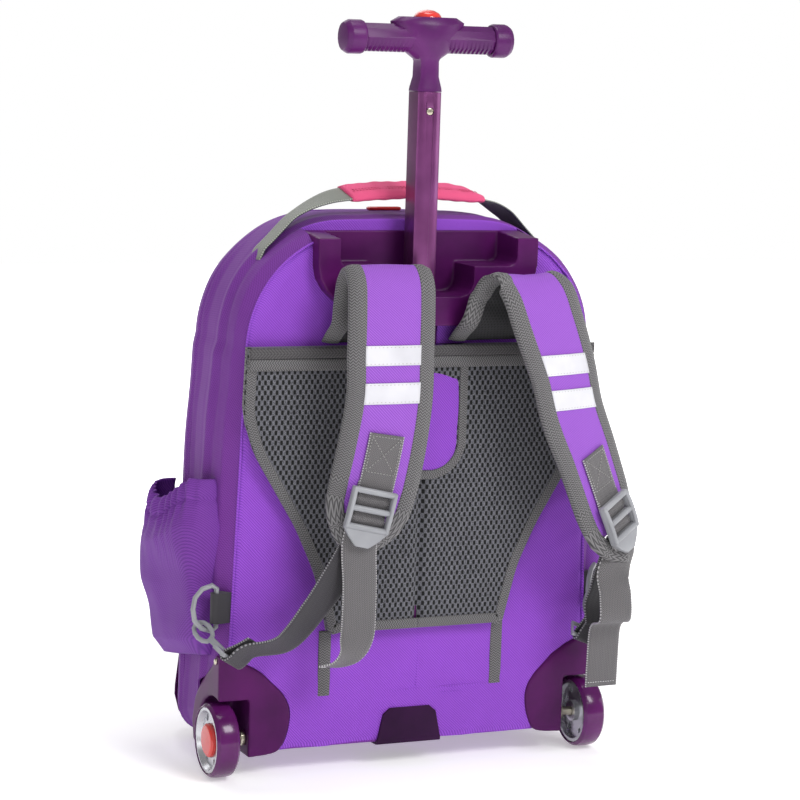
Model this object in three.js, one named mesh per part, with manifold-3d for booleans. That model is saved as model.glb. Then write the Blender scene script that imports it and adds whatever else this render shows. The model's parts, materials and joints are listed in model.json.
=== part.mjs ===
// A wheeled school backpack with a telescopic T handle, seen from the strap side as -Y.
// Millimetres, +Z up. While it is built, y = 0 is the outer face of the back panel,
// x = 0 the middle plane and z = 0 the floor. The last lines move it to its own origin.
import * as THREE from 'three';
import { mergeVertices } from 'three/addons/utils/BufferGeometryUtils.js';
import Module from 'manifold-3d';

const wasm = await Module();
wasm.setup();

// Clearances
const GAP = 0.3;
const SOFT_GAP = 0.4;

// Bag body
const BODY_HALF = 175;
const BODY_TOP = 452;
const BODY_CROWN = 8;
const BODY_BASE = 20;
const SHOULDER_R = 95.5;
const CORNER_R = 24;
const SEAM_LEAN = 12;
const REAR_DEPTH = 95;
const FRONT_DEPTH = 65;
const WALL = 2.5;

// Front pocket
const POCKET_HALF = BODY_HALF - 57;
const POCKET_LOW = 44;
const POCKET_TOP = 262;
const POCKET_DEPTH = 30;

// Side pockets
const SIDE_REACH = 34;
const SIDE_TOP = 246;
const SIDE_LOW = 84;
const SIDE_REAR = 8;
const SIDE_FRONT = 142;
const SIDE_WALL = 2.2;
const GATHER = 2.2;
const GATHERS = 9;

// Wheels
const WHEEL_R = 31;
const WHEEL_W = 20;
const WHEEL_Y = 9;
const WHEEL_FACE = BODY_HALF + 2;
const HUB_R = 27.2;
const CAP_R = 14;
const AXLE_R = 4;
const SPOKE_HOLES = 6;

// Wheel housings
const HOUSING_FACE = BODY_HALF - 4;
const HOUSING_INNER = HOUSING_FACE - 63.5;
const HOUSING_LOW = 16.5;
const HOUSING_HIGH = 104;
const HOUSING_REAR = -3;
const HOUSING_REACH = 62;
const HOUSING_WALL = 2.5;
const WELL_INNER = HOUSING_FACE - 27;
const WELL_CLEAR = 5;
const RIVET_R = 2.8;

// Telescopic tubes: two flat sides and bowed front and back faces
const TUBE_Y = 8;
const TUBE_W = 20.5;
const TUBE_FLAT = 19;
const TUBE_BOW = 2;
const TUBE_WALL = 1.2;
const LOWER_WALL = 1;
const GUIDE_WALL = 1.2;
const GUIDE_LOW = 125;

// Trolley housing and its tray
const TRAY_HALF = 79;
const TRAY_FLOOR = 421;
const HUB_POCKET_HALF = 40;
const HUB_POCKET_FLOOR = 396;
const TROLLEY_HALF = 98;
const TROLLEY_TOP = 446;
const TROLLEY_LOW = 372;
const TROLLEY_REAR = -14;
const TROLLEY_FRONT = 28;
const TROLLEY_WALL = 3;
const LOWER_BODY_HALF = 60;

// T grip, in the half-raised pose
const GRIP_Z = 605;
const GRIP_HALF = 75;
const GRIP_R = 12;
const GRIP_CAP_R = 13.8;
const GRIP_CAP_L = 18;
const NECK_REACH = 42.5;
const NECK_LOW = GRIP_Z - NECK_REACH;
const STOWED_GAP = 0.5;
const STOWED_DROP = NECK_LOW - HUB_POCKET_FLOOR - STOWED_GAP;
const HUB_HALF = 33;
const HUB_DEPTH = 15.5;
const HUB_TOP = 17.5;
const RIB_PITCH = 3.7;
const RIB_DEPTH = 0.9;
const BUTTON_R = 11.5;
const BUTTON_DOME = 6;
const BUTTON_STEM = 5;
const BUTTON_TRAVEL = 3;
const SCREW_R = 3;
const SCREW_DROP = 16;

// Back panel
const PAD_T = 10;
const PAD_TOP = 356;
const PAD_LOW = 120;
const PAD_HALF_TOP = 156;
const PAD_HALF_LOW = 78;
const GROOVE_W = 6;
const GROOVE_D = 3;
const COVER_HALF = 36;
const COVER_LOW = 247;
const COVER_R = 30;
const BAND_H = 13.5;
const BAND_HALF = 155;
const BAND_T = 2;
const BINDING_W = 11;
const BINDING_T = 1.4;
const BINDING_X = 78.5;
const BINDING_LOW = 64;

// Feet and skid plate
const PLATE_T = 2.2;
const SKID_HALF_TOP = 24;
const SKID_HALF_LOW = 29;
const SKID_TOP = 49;
const SKID_REACH = 42;
const FOOT_TOP = 74;
const FOOT_REAR = 116;
const FOOT_PAD_REAR = 122;
const FOOT_PAD_FRONT = 150;
const FOOT_PAD_OUT = BODY_HALF - 35;
const FOOT_PAD_IN = FOOT_PAD_OUT - 36;

// Shoulder straps
const STRAP_W = 74;
const STRAP_T = 8;
const STRAP_CREST_Z = 420;
const STRAP_REACH = 56;
const PAD_END_Z = 218;
const WEB_W = 30;
const WEB_T = 1.8;
const PATCH_TOP = 68;
const PATCH_SEAT = 1;
const BUCKLE_W = 38;
const BUCKLE_FROM = -26;
const BUCKLE_TO = 8;
const TONGUE_L = 14;
const BUCKLE_SEAT = 3.2;
const BUCKLE_T = 5.5;
const BUCKLE_BAR = 4;
const BUCKLE_RAIL = 4;

// Snap hooks and D rings
const RING_WIRE = 2.2;
const RING_LOW = 122;
const RING_HIGH = 164;
const RING_BOW = 22;
const RING_BAR_X = BODY_HALF - 2;
const RING_Y = 2;
const RING_RIGHT_TURN = 226;
const TAB_R = 5;
const TAB_H = 25;
const HOOK_T = 5;
const HOOK_WIRE = 2;
const HOOK_L = 47;
const EYE_L = 20;
const EYE_W = 13;
const LOOP_L = 10;

// Carry handle
const HANDLE_TOP = 479;
const HANDLE_END_Z = 441;
const HANDLE_HALF = BODY_HALF - 51;
const HANDLE_TILT = 0.35;
const PULL_X = -7;
const PULL_Y = 66;
const PULL_L = 30;
const PULL_Z = 464;
const HANDLE_Y = 50;
const HANDLE_SKEW = 12;
const HANDLE_WEB_W = 25;
const HANDLE_PAD_W = 30;
const HANDLE_PAD_T = 8;

// Half of the way from the fold of the right tail to the front of the pocket
const ORIGIN_Y = 59;

const BODY_FRONT = REAR_DEPTH + FRONT_DEPTH;
const PANEL_OUT = -SOFT_GAP;

// Colours of the real object
const FABRIC = ['#9A55D6', 0.85, 0];
const PLUM = ['#4E1358', 0.4, 0];
const GREY_WEB = ['#7A7878', 0.9, 0];
const MESH_GREY = ['#4A4A4C', 0.9, 0];
const PINK = ['#F0548C', 0.8, 0];
const RED = ['#E03A32', 0.35, 0];
const LIGHT_GREY = ['#9FA0A6', 0.4, 0];
const TUBE_PLUM = ['#6B3A78', 0.3, 0.7];
const SILVER = ['#C9CBD0', 0.25, 0.9];

const bag = new THREE.Group();
const handle = new THREE.Group();
bag.add(handle);

function material([colour, roughness, metalness]) {
  return new THREE.MeshStandardMaterial({ color: colour, roughness, metalness });
}

function add(name, geometry, look, group = bag) {
  const mesh = new THREE.Mesh(geometry, material(look));
  mesh.name = name;
  group.add(mesh);
  return mesh;
}

// Geometry helpers

function vec(x, y, z) {
  return new THREE.Vector3(x, y, z);
}

function mix(a, b, t) {
  return a + (b - a) * t;
}

function smooth(a, b, t) {
  return THREE.MathUtils.smoothstep(t, a, b);
}

// A closed body through rings of equal length, each end closed by a fan.
function loft(rings) {
  const count = rings[0].length;
  const points = [];
  const index = [];
  for (const ring of rings) points.push(...ring);
  for (const end of [0, rings.length - 1]) {
    const centre = vec(0, 0, 0);
    for (const point of rings[end]) centre.add(point);
    points.push(centre.divideScalar(count));
  }
  const first = rings.length * count;
  for (let k = 0; k < count; k += 1) {
    const next = (k + 1) % count;
    for (let r = 0; r < rings.length - 1; r += 1) {
      const a = r * count;
      index.push(a + k, a + next, a + count + next, a + k, a + count + next, a + count + k);
    }
    const last = (rings.length - 1) * count;
    index.push(first, next, k, first + 1, last + k, last + next);
  }
  const geometry = new THREE.BufferGeometry();
  geometry.setAttribute('position', new THREE.Float32BufferAttribute(points.flatMap((p) => p.toArray()), 3));
  geometry.setIndex(index);
  return faceOut(geometry);
}

// Turns a closed geometry inside out when its faces point in.
function faceOut(geometry) {
  const p = geometry.attributes.position;
  const index = geometry.index.array;
  const [a, b, c] = [vec(0, 0, 0), vec(0, 0, 0), vec(0, 0, 0)];
  let volume = 0;
  for (let i = 0; i < index.length; i += 3) {
    a.fromBufferAttribute(p, index[i]);
    b.fromBufferAttribute(p, index[i + 1]);
    c.fromBufferAttribute(p, index[i + 2]);
    volume += a.dot(b.cross(c));
  }
  if (volume < 0) {
    for (let i = 0; i < index.length; i += 3) [index[i], index[i + 1]] = [index[i + 1], index[i]];
  }
  return geometry;
}

function bare(geometry) {
  const copy = geometry.clone();
  copy.deleteAttribute('normal');
  copy.deleteAttribute('uv');
  return copy;
}

function solid(geometry) {
  const merged = mergeVertices(bare(geometry), 1e-4);
  const mesh = new wasm.Mesh({
    numProp: 3,
    vertProperties: Float32Array.from(merged.attributes.position.array),
    triVerts: Uint32Array.from(merged.index.array),
  });
  return new wasm.Manifold(mesh);
}

function geometryOf(body) {
  const mesh = body.getMesh();
  const geometry = new THREE.BufferGeometry();
  geometry.setAttribute('position', new THREE.BufferAttribute(mesh.vertProperties, 3));
  geometry.setIndex(new THREE.BufferAttribute(mesh.triVerts, 1));
  return geometry;
}

function joinAll(bodies) {
  return bodies.reduce((sum, body) => sum.add(body));
}

function shapeOf(outline, holes = []) {
  const shape = new THREE.Shape(outline.map(([u, v]) => new THREE.Vector2(u, v)));
  shape.holes = holes.map((hole) => new THREE.Path(hole.map(([u, v]) => new THREE.Vector2(u, v))));
  return shape;
}

const AXES = {
  x: new THREE.Matrix4().makeBasis(vec(0, 1, 0), vec(0, 0, 1), vec(1, 0, 0)),
  y: new THREE.Matrix4().makeBasis(vec(1, 0, 0), vec(0, 0, 1), vec(0, -1, 0)),
  z: new THREE.Matrix4(),
};

// A prism: the outline holds (y, z), (x, z) or (x, y) points for axis x, y or z.
function prism(axis, outline, from, to, holes = []) {
  const depth = to - from;
  const geometry = new THREE.ExtrudeGeometry(shapeOf(outline, holes), { depth, bevelEnabled: false, steps: 1 });
  geometry.translate(0, 0, axis === 'y' ? -to : from);
  geometry.applyMatrix4(AXES[axis]);
  return geometry;
}

function bevelled(axis, outline, from, to, bevel, holes = [], segments = 1) {
  const geometry = new THREE.ExtrudeGeometry(shapeOf(outline, holes), {
    depth: to - from - 2 * bevel,
    bevelThickness: bevel,
    bevelSize: bevel,
    bevelOffset: -bevel,
    bevelSegments: segments,
    steps: 1,
  });
  geometry.translate(0, 0, axis === 'y' ? -to + bevel : from + bevel);
  geometry.applyMatrix4(AXES[axis]);
  return geometry;
}

function box(x0, x1, y0, y1, z0, z1) {
  const geometry = new THREE.BoxGeometry(x1 - x0, y1 - y0, z1 - z0);
  return geometry.translate((x0 + x1) / 2, (y0 + y1) / 2, (z0 + z1) / 2);
}

// A turned body: rows of [radius, distance along the axis], then placed by the caller.
function turned(profile, axis, segments) {
  const geometry = new THREE.LatheGeometry(profile.map(([r, d]) => new THREE.Vector2(r, d)), segments);
  if (axis === 'x') geometry.rotateZ(-Math.PI / 2);
  if (axis === 'z') geometry.rotateX(Math.PI / 2);
  return closed(geometry);
}

function closed(geometry) {
  geometry.deleteAttribute('normal');
  geometry.deleteAttribute('uv');
  return faceOut(dropSlivers(mergeVertices(geometry, 1e-4)));
}

// Removes the empty triangles that a turned profile leaves on its axis.
function dropSlivers(geometry) {
  const index = geometry.index.array;
  const kept = [];
  for (let i = 0; i < index.length; i += 3) {
    const [a, b, c] = [index[i], index[i + 1], index[i + 2]];
    if (a !== b && b !== c && c !== a) kept.push(a, b, c);
  }
  geometry.setIndex(kept);
  return geometry;
}

function arc(cx, cz, r, fromDeg, toDeg, steps) {
  const points = [];
  for (let k = 0; k <= steps; k += 1) {
    const angle = THREE.MathUtils.degToRad(mix(fromDeg, toDeg, k / steps));
    points.push([cx + r * Math.cos(angle), cz + r * Math.sin(angle)]);
  }
  return points;
}

function circle(cx, cz, r, steps) {
  return arc(cx, cz, r, 0, 360 - 360 / steps, steps - 1);
}

function roundRect(x0, x1, z0, z1, r, steps = 2) {
  return [
    ...arc(x1 - r, z0 + r, r, -90, 0, steps),
    ...arc(x1 - r, z1 - r, r, 0, 90, steps),
    ...arc(x0 + r, z1 - r, r, 90, 180, steps),
    ...arc(x0 + r, z0 + r, r, 180, 270, steps),
  ];
}

// Moves each corner of a counter-clockwise outline outwards by the same distance.
function grown(outline, distance) {
  return outline.map((point, k) => {
    const before = outline[(k + outline.length - 1) % outline.length];
    const after = outline[(k + 1) % outline.length];
    const a = new THREE.Vector2(point[0] - before[0], point[1] - before[1]).normalize();
    const b = new THREE.Vector2(after[0] - point[0], after[1] - point[1]).normalize();
    const side = new THREE.Vector2(a.y + b.y, -a.x - b.x).normalize();
    const stretch = distance / Math.max(0.3, side.x * a.y - side.y * a.x);
    return [point[0] + side.x * stretch, point[1] + side.y * stretch];
  });
}

function mirrored(outline) {
  return outline.map(([x, z]) => [-x, z]).reverse();
}

// Bag body

// Rows: share of the depth, share of BODY_HALF at the seams, side bulge as a share of
// SEAM_LEAN, share of BODY_TOP, share of BODY_CROWN, share of BODY_BASE.
const REAR_SECTIONS = [
  { depth: 0, half: 0.9, bulge: 0, top: 0.9915, crown: 0, base: 1.05 },
  { depth: 0.02, half: 0.914, bulge: 0, top: 0.993, crown: 0.1, base: 1.0 },
  { depth: 0.13, half: 0.945, bulge: 0.35, top: 0.997, crown: 0.4, base: 0.98 },
  { depth: 0.35, half: 0.952, bulge: 0.7, top: 1.0, crown: 0.8, base: 0.94 },
  { depth: 0.65, half: 0.95, bulge: 0.6, top: 1.002, crown: 1.0, base: 0.86 },
  { depth: 1, half: 0.93, bulge: 0.4, top: 1.0, crown: 1.0, base: 0.76 },
];
const FRONT_SECTIONS = [
  { depth: 0, half: 0.93, bulge: 0.4, top: 1.0, crown: 1.0, base: 0.76 },
  { depth: 0.36, half: 0.9, bulge: 0.4, top: 0.996, crown: 0.8, base: 0.7 },
  { depth: 0.7, half: 0.866, bulge: 0.2, top: 0.978, crown: 0.5, base: 0.64 },
  { depth: 0.93, half: 0.82, bulge: 0, top: 0.955, crown: 0.3, base: 0.74 },
  { depth: 1, half: 0.78, bulge: 0, top: 0.94, crown: 0.2, base: 0.95 },
];
const SIDE_STEPS = 5;

// One closed ring of the bag at depth y, moved outwards by `out` (inwards when negative).
function bodyRing(section, y, out) {
  const seam = BODY_HALF * section.half + out;
  const top = BODY_TOP * section.top + out;
  const base = BODY_BASE * section.base - out;
  const shoulder = SHOULDER_R + out;
  const corner = CORNER_R + out;
  const crown = BODY_CROWN * section.crown;
  const low = seam + SEAM_LEAN * 0.45;
  const high = seam - SEAM_LEAN * 0.45;
  const sideLow = base + corner;
  const sideHigh = top - shoulder;
  const half = [];
  half.push([low * 0.36, base], ...arc(low - corner, sideLow, corner, -90, 0, 3));
  for (let k = 1; k < SIDE_STEPS; k += 1) {
    const t = k / SIDE_STEPS;
    const z = mix(sideLow, sideHigh, t);
    const swell = smooth(HOUSING_HIGH, HOUSING_HIGH + 90, z) * (1 - 0.6 * smooth(0.75, 1, t));
    half.push([mix(low, high, t) + SEAM_LEAN * section.bulge * swell, z]);
  }
  for (const [x, z] of arc(high - shoulder, sideHigh, shoulder, 0, 90, 6)) {
    half.push([x, z + crown * (1 - (x / high) ** 2)]);
  }
  half.push([(high - shoulder) * 0.45, top + crown * (1 - (((high - shoulder) * 0.45) / high) ** 2)]);
  const ring = [[0, base], ...half, [0, top + crown], ...mirrored(half)];
  return ring.map(([x, z]) => vec(x, y, z));
}

function bodyRings(sections, from, depth, out) {
  return sections.map((section) => bodyRing(section, from + depth * section.depth, out));
}

// The whole bag as one lump, `out` larger all round.
function bodyLump(out) {
  const rings = [
    ...bodyRings(REAR_SECTIONS, 0, REAR_DEPTH, out),
    ...bodyRings(FRONT_SECTIONS.slice(1), REAR_DEPTH, FRONT_DEPTH, out),
  ];
  rings[0].forEach((point) => point.setY(-out));
  rings[rings.length - 1].forEach((point) => point.setY(BODY_FRONT + out));
  return solid(loft(rings));
}

// A tub that opens towards +Y: outer skin, rim, inner skin.
function rearTub() {
  const outer = bodyRings(REAR_SECTIONS, 0, REAR_DEPTH, 0);
  const inner = bodyRings(REAR_SECTIONS.slice(2), 0, REAR_DEPTH, -WALL).reverse();
  const floor = bodyRing(REAR_SECTIONS[1], WALL, -WALL);
  return loft([...outer, ...inner, floor]);
}

function frontTub() {
  const outer = bodyRings(FRONT_SECTIONS, REAR_DEPTH, FRONT_DEPTH, 0);
  outer[0].forEach((point) => point.setY(REAR_DEPTH + GAP));
  const inner = bodyRings(FRONT_SECTIONS.slice(0, -2), REAR_DEPTH, FRONT_DEPTH, -WALL);
  inner[0].forEach((point) => point.setY(REAR_DEPTH + GAP));
  const floor = bodyRing(FRONT_SECTIONS[FRONT_SECTIONS.length - 2], BODY_FRONT - WALL, -WALL);
  return loft([floor, ...inner.reverse(), ...outer]);
}

// The trolley housing seen from behind; `out` grows it for the opening it sits in.
function trolleyOutline(out) {
  const half = [
    [LOWER_BODY_HALF, TROLLEY_LOW],
    [LOWER_BODY_HALF + 9, TROLLEY_LOW + 11],
    [TROLLEY_HALF - 8, TRAY_FLOOR - 20],
    [TROLLEY_HALF - 2, TRAY_FLOOR - 10],
    [TROLLEY_HALF, TRAY_FLOOR],
    [TROLLEY_HALF, TROLLEY_TOP],
  ];
  return grown([...half, ...mirrored(half)], out);
}

// Wheel housings

const HOUSING_SPAN = HOUSING_FACE - HOUSING_INNER;
const HOUSING_RISE = HOUSING_HIGH - HOUSING_LOW;

// Seen from behind: shares of the housing's span inwards from its face, and of its rise.
const HOUSING_BACK = [
  { across: 0, up: 0 },
  { across: 0.76, up: 0 },
  { across: 0.9, up: 0.08 },
  { across: 0.985, up: 0.26 },
  { across: 1, up: 0.44 },
  { across: 0.9, up: 0.59 },
  { across: 0.72, up: 0.71 },
  { across: 0.55, up: 0.84 },
  { across: 0.06, up: 1 },
  { across: 0, up: 1 },
];
// Seen from the side: shares of the housing's reach from its rear face, and of its rise.
const HOUSING_SIDE = [
  { along: 0, up: 0 },
  { along: 0.93, up: 0 },
  { along: 1, up: 0.22 },
  { along: 0.9, up: 0.46 },
  { along: 0.66, up: 0.66 },
  { along: 0.29, up: 0.86 },
  { along: 0.13, up: 1 },
  { along: 0, up: 1 },
];

// `outside` carries the block on past its outer face, for the opening in the bag.
function housingBlock(out, outside = 0) {
  const reach = HOUSING_REACH - HOUSING_REAR;
  const back = HOUSING_BACK.map((row) => [
    -HOUSING_FACE + row.across * HOUSING_SPAN,
    HOUSING_LOW + row.up * HOUSING_RISE,
  ]);
  const side = HOUSING_SIDE.map((row) => [
    HOUSING_REAR + row.along * reach,
    HOUSING_LOW + row.up * HOUSING_RISE,
  ]);
  const backGrown = grown(back, out).map(([x, z]) => [x < -HOUSING_FACE + 1 ? x - outside : x, z]);
  const across = solid(prism('y', backGrown, HOUSING_REAR - out, HOUSING_REACH + out));
  const along = solid(prism('x', grown(side, out), -HOUSING_FACE - out - outside, -HOUSING_INNER + out));
  return across.intersect(along);
}

// The space that the wheel turns in, open below, behind and at the side.
function wheelWell(out) {
  const r = WHEEL_R + WELL_CLEAR + out;
  const outline = [
    ...arc(WHEEL_Y, WHEEL_R, r, -20, 112, 9),
    [HOUSING_REAR - 8, WHEEL_R + r * 0.84],
    [HOUSING_REAR - 8, -5],
    [WHEEL_Y + r * 0.94, -5],
  ];
  return solid(prism('x', outline, -HOUSING_FACE - 8, -WELL_INNER + out));
}

function wheelHousing() {
  const outer = housingBlock(0);
  const hollow = housingBlock(-HOUSING_WALL).add(housingBlock(-HOUSING_WALL).translate([0, 4, 0]));
  const wellWall = wheelWell(HOUSING_WALL).intersect(outer);
  const boss = solid(turned([[0, 0], [9, 0], [9, 9], [0, 9]], 'x', 12).translate(-WELL_INNER, WHEEL_Y, WHEEL_R));
  return outer.subtract(hollow.subtract(wellWall).subtract(boss)).subtract(wheelWell(0));
}

function reflectX(geometry) {
  const flipped = geometry.clone().scale(-1, 1, 1);
  return faceOut(flipped.index ? flipped : mergeVertices(flipped, 1e-4));
}

// Adds a piece and its mirror image, each cut clear of `room` when it is given.
function addPair(name, geometry, look, room = null) {
  for (const [side, piece] of [['left', geometry], ['right', reflectX(geometry)]]) {
    add(`${name}_${side}`, room ? geometryOf(solid(piece).subtract(room)) : piece, look);
  }
}

// Bag shells, cut for the trolley housing, the guide tube and the wheel housings

function tubeOutline(out, wallShift = 0) {
  const w = TUBE_W / 2 + out;
  const flat = TUBE_FLAT / 2;
  const bow = TUBE_BOW + out + wallShift;
  const points = [[w, TUBE_Y + flat]];
  for (const t of [0.66, 0.33, 0, -0.33, -0.66]) points.push([w * t, TUBE_Y + flat + bow * (1 - t * t * 0.6)]);
  points.push([-w, TUBE_Y + flat], [-w, TUBE_Y - flat]);
  for (const t of [-0.66, -0.33, 0, 0.33, 0.66]) points.push([w * t, TUBE_Y - flat - bow * (1 - t * t * 0.6)]);
  points.push([w, TUBE_Y - flat]);
  return points;
}

const LOWER_IN = GAP;
const LOWER_OUT = LOWER_IN + LOWER_WALL;
const GUIDE_IN = LOWER_OUT + GAP;
const GUIDE_OUT = GUIDE_IN + GUIDE_WALL;
const GUIDE_REAR = TUBE_Y - TUBE_FLAT / 2 - TUBE_BOW - GUIDE_OUT;

const housingRoom = housingBlock(SOFT_GAP, 20);
const trolleyRoom = solid(prism('y', trolleyOutline(SOFT_GAP), TROLLEY_REAR - 5, TROLLEY_FRONT + SOFT_GAP))
  .add(solid(box(-TROLLEY_HALF - SOFT_GAP, TROLLEY_HALF + SOFT_GAP, TROLLEY_REAR - 5, TROLLEY_FRONT + SOFT_GAP,
    TROLLEY_TOP - 2, BODY_TOP + BODY_CROWN + 10)));
const guideHalf = TUBE_W / 2 + GUIDE_OUT + SOFT_GAP;
const guideRoom = solid(box(-guideHalf, guideHalf, GUIDE_REAR - 1, WALL + 1, GUIDE_LOW - SOFT_GAP, TROLLEY_LOW + 5));

const rearShell = solid(rearTub())
  .subtract(housingRoom)
  .subtract(solid(reflectX(geometryOf(housingRoom))))
  .subtract(trolleyRoom)
  .subtract(guideRoom);
add('bag_rear_shell', geometryOf(rearShell), FABRIC);
add('bag_front_shell', frontTub(), FABRIC);

// Front pocket: a shallow tub against the front face

function pocketRing(y, inset, out) {
  const half = POCKET_HALF - inset + out;
  const outline = roundRect(-half, half, POCKET_LOW + inset - out, POCKET_TOP - inset + out, 30 + out, 3);
  return outline.map(([x, z]) => vec(x, y, z));
}

function frontPocket() {
  const back = BODY_FRONT + SOFT_GAP;
  return loft([
    pocketRing(back + POCKET_DEPTH, 14, 0),
    pocketRing(back + POCKET_DEPTH * 0.86, 3, 0),
    pocketRing(back, 0, 0),
    pocketRing(back, 0, -WALL),
    pocketRing(back + POCKET_DEPTH * 0.8, 3, -WALL),
    pocketRing(back + POCKET_DEPTH - WALL, 12, -WALL),
  ]);
}
add('front_pocket', frontPocket(), FABRIC);

// Side pockets: gathered at the hem, sewn to the side of the bag

// Rows: share of the pocket's height, share of its reach, gather depth, forward growth.
const SIDE_SECTIONS = [
  { up: 0, reach: 0.3, gather: 0, length: 0.86 },
  { up: 0.1, reach: 0.62, gather: 0.1, length: 0.95 },
  { up: 0.45, reach: 0.9, gather: 0.2, length: 1 },
  { up: 0.74, reach: 1, gather: 0.5, length: 1 },
  { up: 0.9, reach: 0.86, gather: 1, length: 0.96 },
  { up: 1, reach: 0.72, gather: 1, length: 0.9 },
];
const SIDE_RING = 26;

function sideRing(row, out) {
  const middle = (SIDE_REAR + SIDE_FRONT) / 2;
  const length = ((SIDE_FRONT - SIDE_REAR) / 2) * row.length + out;
  const wall = BODY_HALF * 0.97;
  const ring = [];
  for (let k = 0; k < SIDE_RING; k += 1) {
    const a = (2 * Math.PI * k) / SIDE_RING;
    const outwards = Math.max(0, -Math.cos(a));
    const ripple = GATHER * row.gather * Math.cos(GATHERS * 2 * a) * outwards;
    const y = middle + length * Math.sin(a) * (1 + 0.08 * Math.cos(2 * a));
    const reach = Math.sqrt(outwards) * (SIDE_REACH * row.reach + ripple) + (outwards > 0 ? out : 0);
    const x = -wall - (outwards > 0 ? reach : -30);
    const front = (y - SIDE_REAR) / (SIDE_FRONT - SIDE_REAR);
    const slope = mix(18, -8, front) * (1 - row.up) - row.up * 26 * Math.sin(Math.PI * Math.min(1, Math.max(0, 1.15 - front)));
    ring.push(vec(x, y, mix(SIDE_LOW, SIDE_TOP, row.up) + slope));
  }
  return ring;
}

function sidePocket() {
  const outer = SIDE_SECTIONS.map((row) => sideRing(row, 0));
  const inner = SIDE_SECTIONS.map((row) => sideRing(row, -SIDE_WALL));
  inner[0].forEach((point) => point.setZ(point.z + SIDE_WALL * 1.5));
  const lid = inner[inner.length - 1].map((point) => point.clone().setZ(point.z + 20));
  return geometryOf(solid(loft(outer)).subtract(solid(loft([...inner, lid]))));
}
const bagRoom = bodyLump(SOFT_GAP);
addPair('side_pocket', sidePocket(), FABRIC, bagRoom);

// Trolley housing with the tray that the grip stows in

function trolleyHousing() {
  const block = solid(prism('y', trolleyOutline(0), TROLLEY_REAR, TROLLEY_FRONT));
  const trayBack = TROLLEY_FRONT - TROLLEY_WALL;
  const above = TROLLEY_TOP + 20;
  const tray = solid(prism('y', roundRect(-TRAY_HALF, TRAY_HALF, TRAY_FLOOR, above, 7), TROLLEY_REAR - 5, trayBack));
  const hubPocket = solid(prism('y',
    roundRect(-HUB_POCKET_HALF, HUB_POCKET_HALF, HUB_POCKET_FLOOR, above, 12, 3), TROLLEY_REAR - 5, trayBack));
  const bore = solid(prism('z', tubeOutline(GUIDE_IN), TROLLEY_LOW - 5, HUB_POCKET_FLOOR + 5));
  const cut = block.subtract(tray).subtract(hubPocket).subtract(bore);
  return cut.warp((p) => {
    if (p[2] > TROLLEY_TOP - 1) p[2] += (p[1] - TROLLEY_REAR) * 0.09 - 2;
  });
}
add('trolley_housing', geometryOf(trolleyHousing()), PLUM);

function tubeBody(outside, inside, low, high) {
  return closed(prism('z', tubeOutline(outside), low, high, [tubeOutline(inside).reverse()]));
}

const HOUSING_SEAT = TROLLEY_LOW - GAP;
add('guide_tube', tubeBody(GUIDE_OUT, GUIDE_IN, GUIDE_LOW, HOUSING_SEAT), PLUM);

const LOWER_TUBE_LOW = GUIDE_LOW + 2;
add('lower_tube', tubeBody(LOWER_OUT, LOWER_IN, LOWER_TUBE_LOW, HUB_POCKET_FLOOR), TUBE_PLUM);

// T handle

const UPPER_LOW = LOWER_TUBE_LOW + 2 + STOWED_DROP;
const tubeRear = TUBE_Y - TUBE_FLAT / 2 - TUBE_BOW;
const SCREW_Z = NECK_LOW - SCREW_DROP;
const screwHole = solid(turned([[0, -4], [SCREW_R + GAP, -4], [SCREW_R + GAP, 4], [0, 4]], 'y', 12)
  .translate(0, tubeRear, SCREW_Z));
const upperTube = solid(tubeBody(0, -TUBE_WALL, UPPER_LOW, NECK_LOW - GAP)).subtract(screwHole);
add('upper_tube', geometryOf(upperTube), TUBE_PLUM, handle);
const screw = turned([[0, 0.1], [SCREW_R * 0.8, 0.15], [SCREW_R, 0.4], [SCREW_R, TUBE_WALL], [0, TUBE_WALL]], 'y', 12);
add('tube_screw', screw.translate(0, tubeRear, SCREW_Z), SILVER, handle);

function ellipseRing(rx, ry, z, steps) {
  return circle(0, 0, 1, steps).map(([u, v]) => vec(rx * u, TUBE_Y + ry * v, z));
}

function gripArm(from, to) {
  const steps = 10;
  const ringAt = (x, groove) => circle(0, 0, 1, steps).map(([u, v]) => {
    const r = GRIP_R - (v < -0.2 ? groove : 0);
    return vec(x, TUBE_Y + r * u, GRIP_Z + r * v);
  });
  const rings = [ringAt(from, RIB_DEPTH)];
  const ribs = Math.floor((to - from) / RIB_PITCH);
  const start = to - ribs * RIB_PITCH;
  for (let k = 0; k < ribs; k += 1) {
    rings.push(ringAt(start + (k + 0.2) * RIB_PITCH, RIB_DEPTH), ringAt(start + (k + 0.55) * RIB_PITCH, 0));
  }
  rings.push(ringAt(to, RIB_DEPTH));
  return loft(rings);
}

const CAP_START = GRIP_HALF - GRIP_CAP_L;
const ARM_START = HUB_HALF * 0.45;

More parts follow.
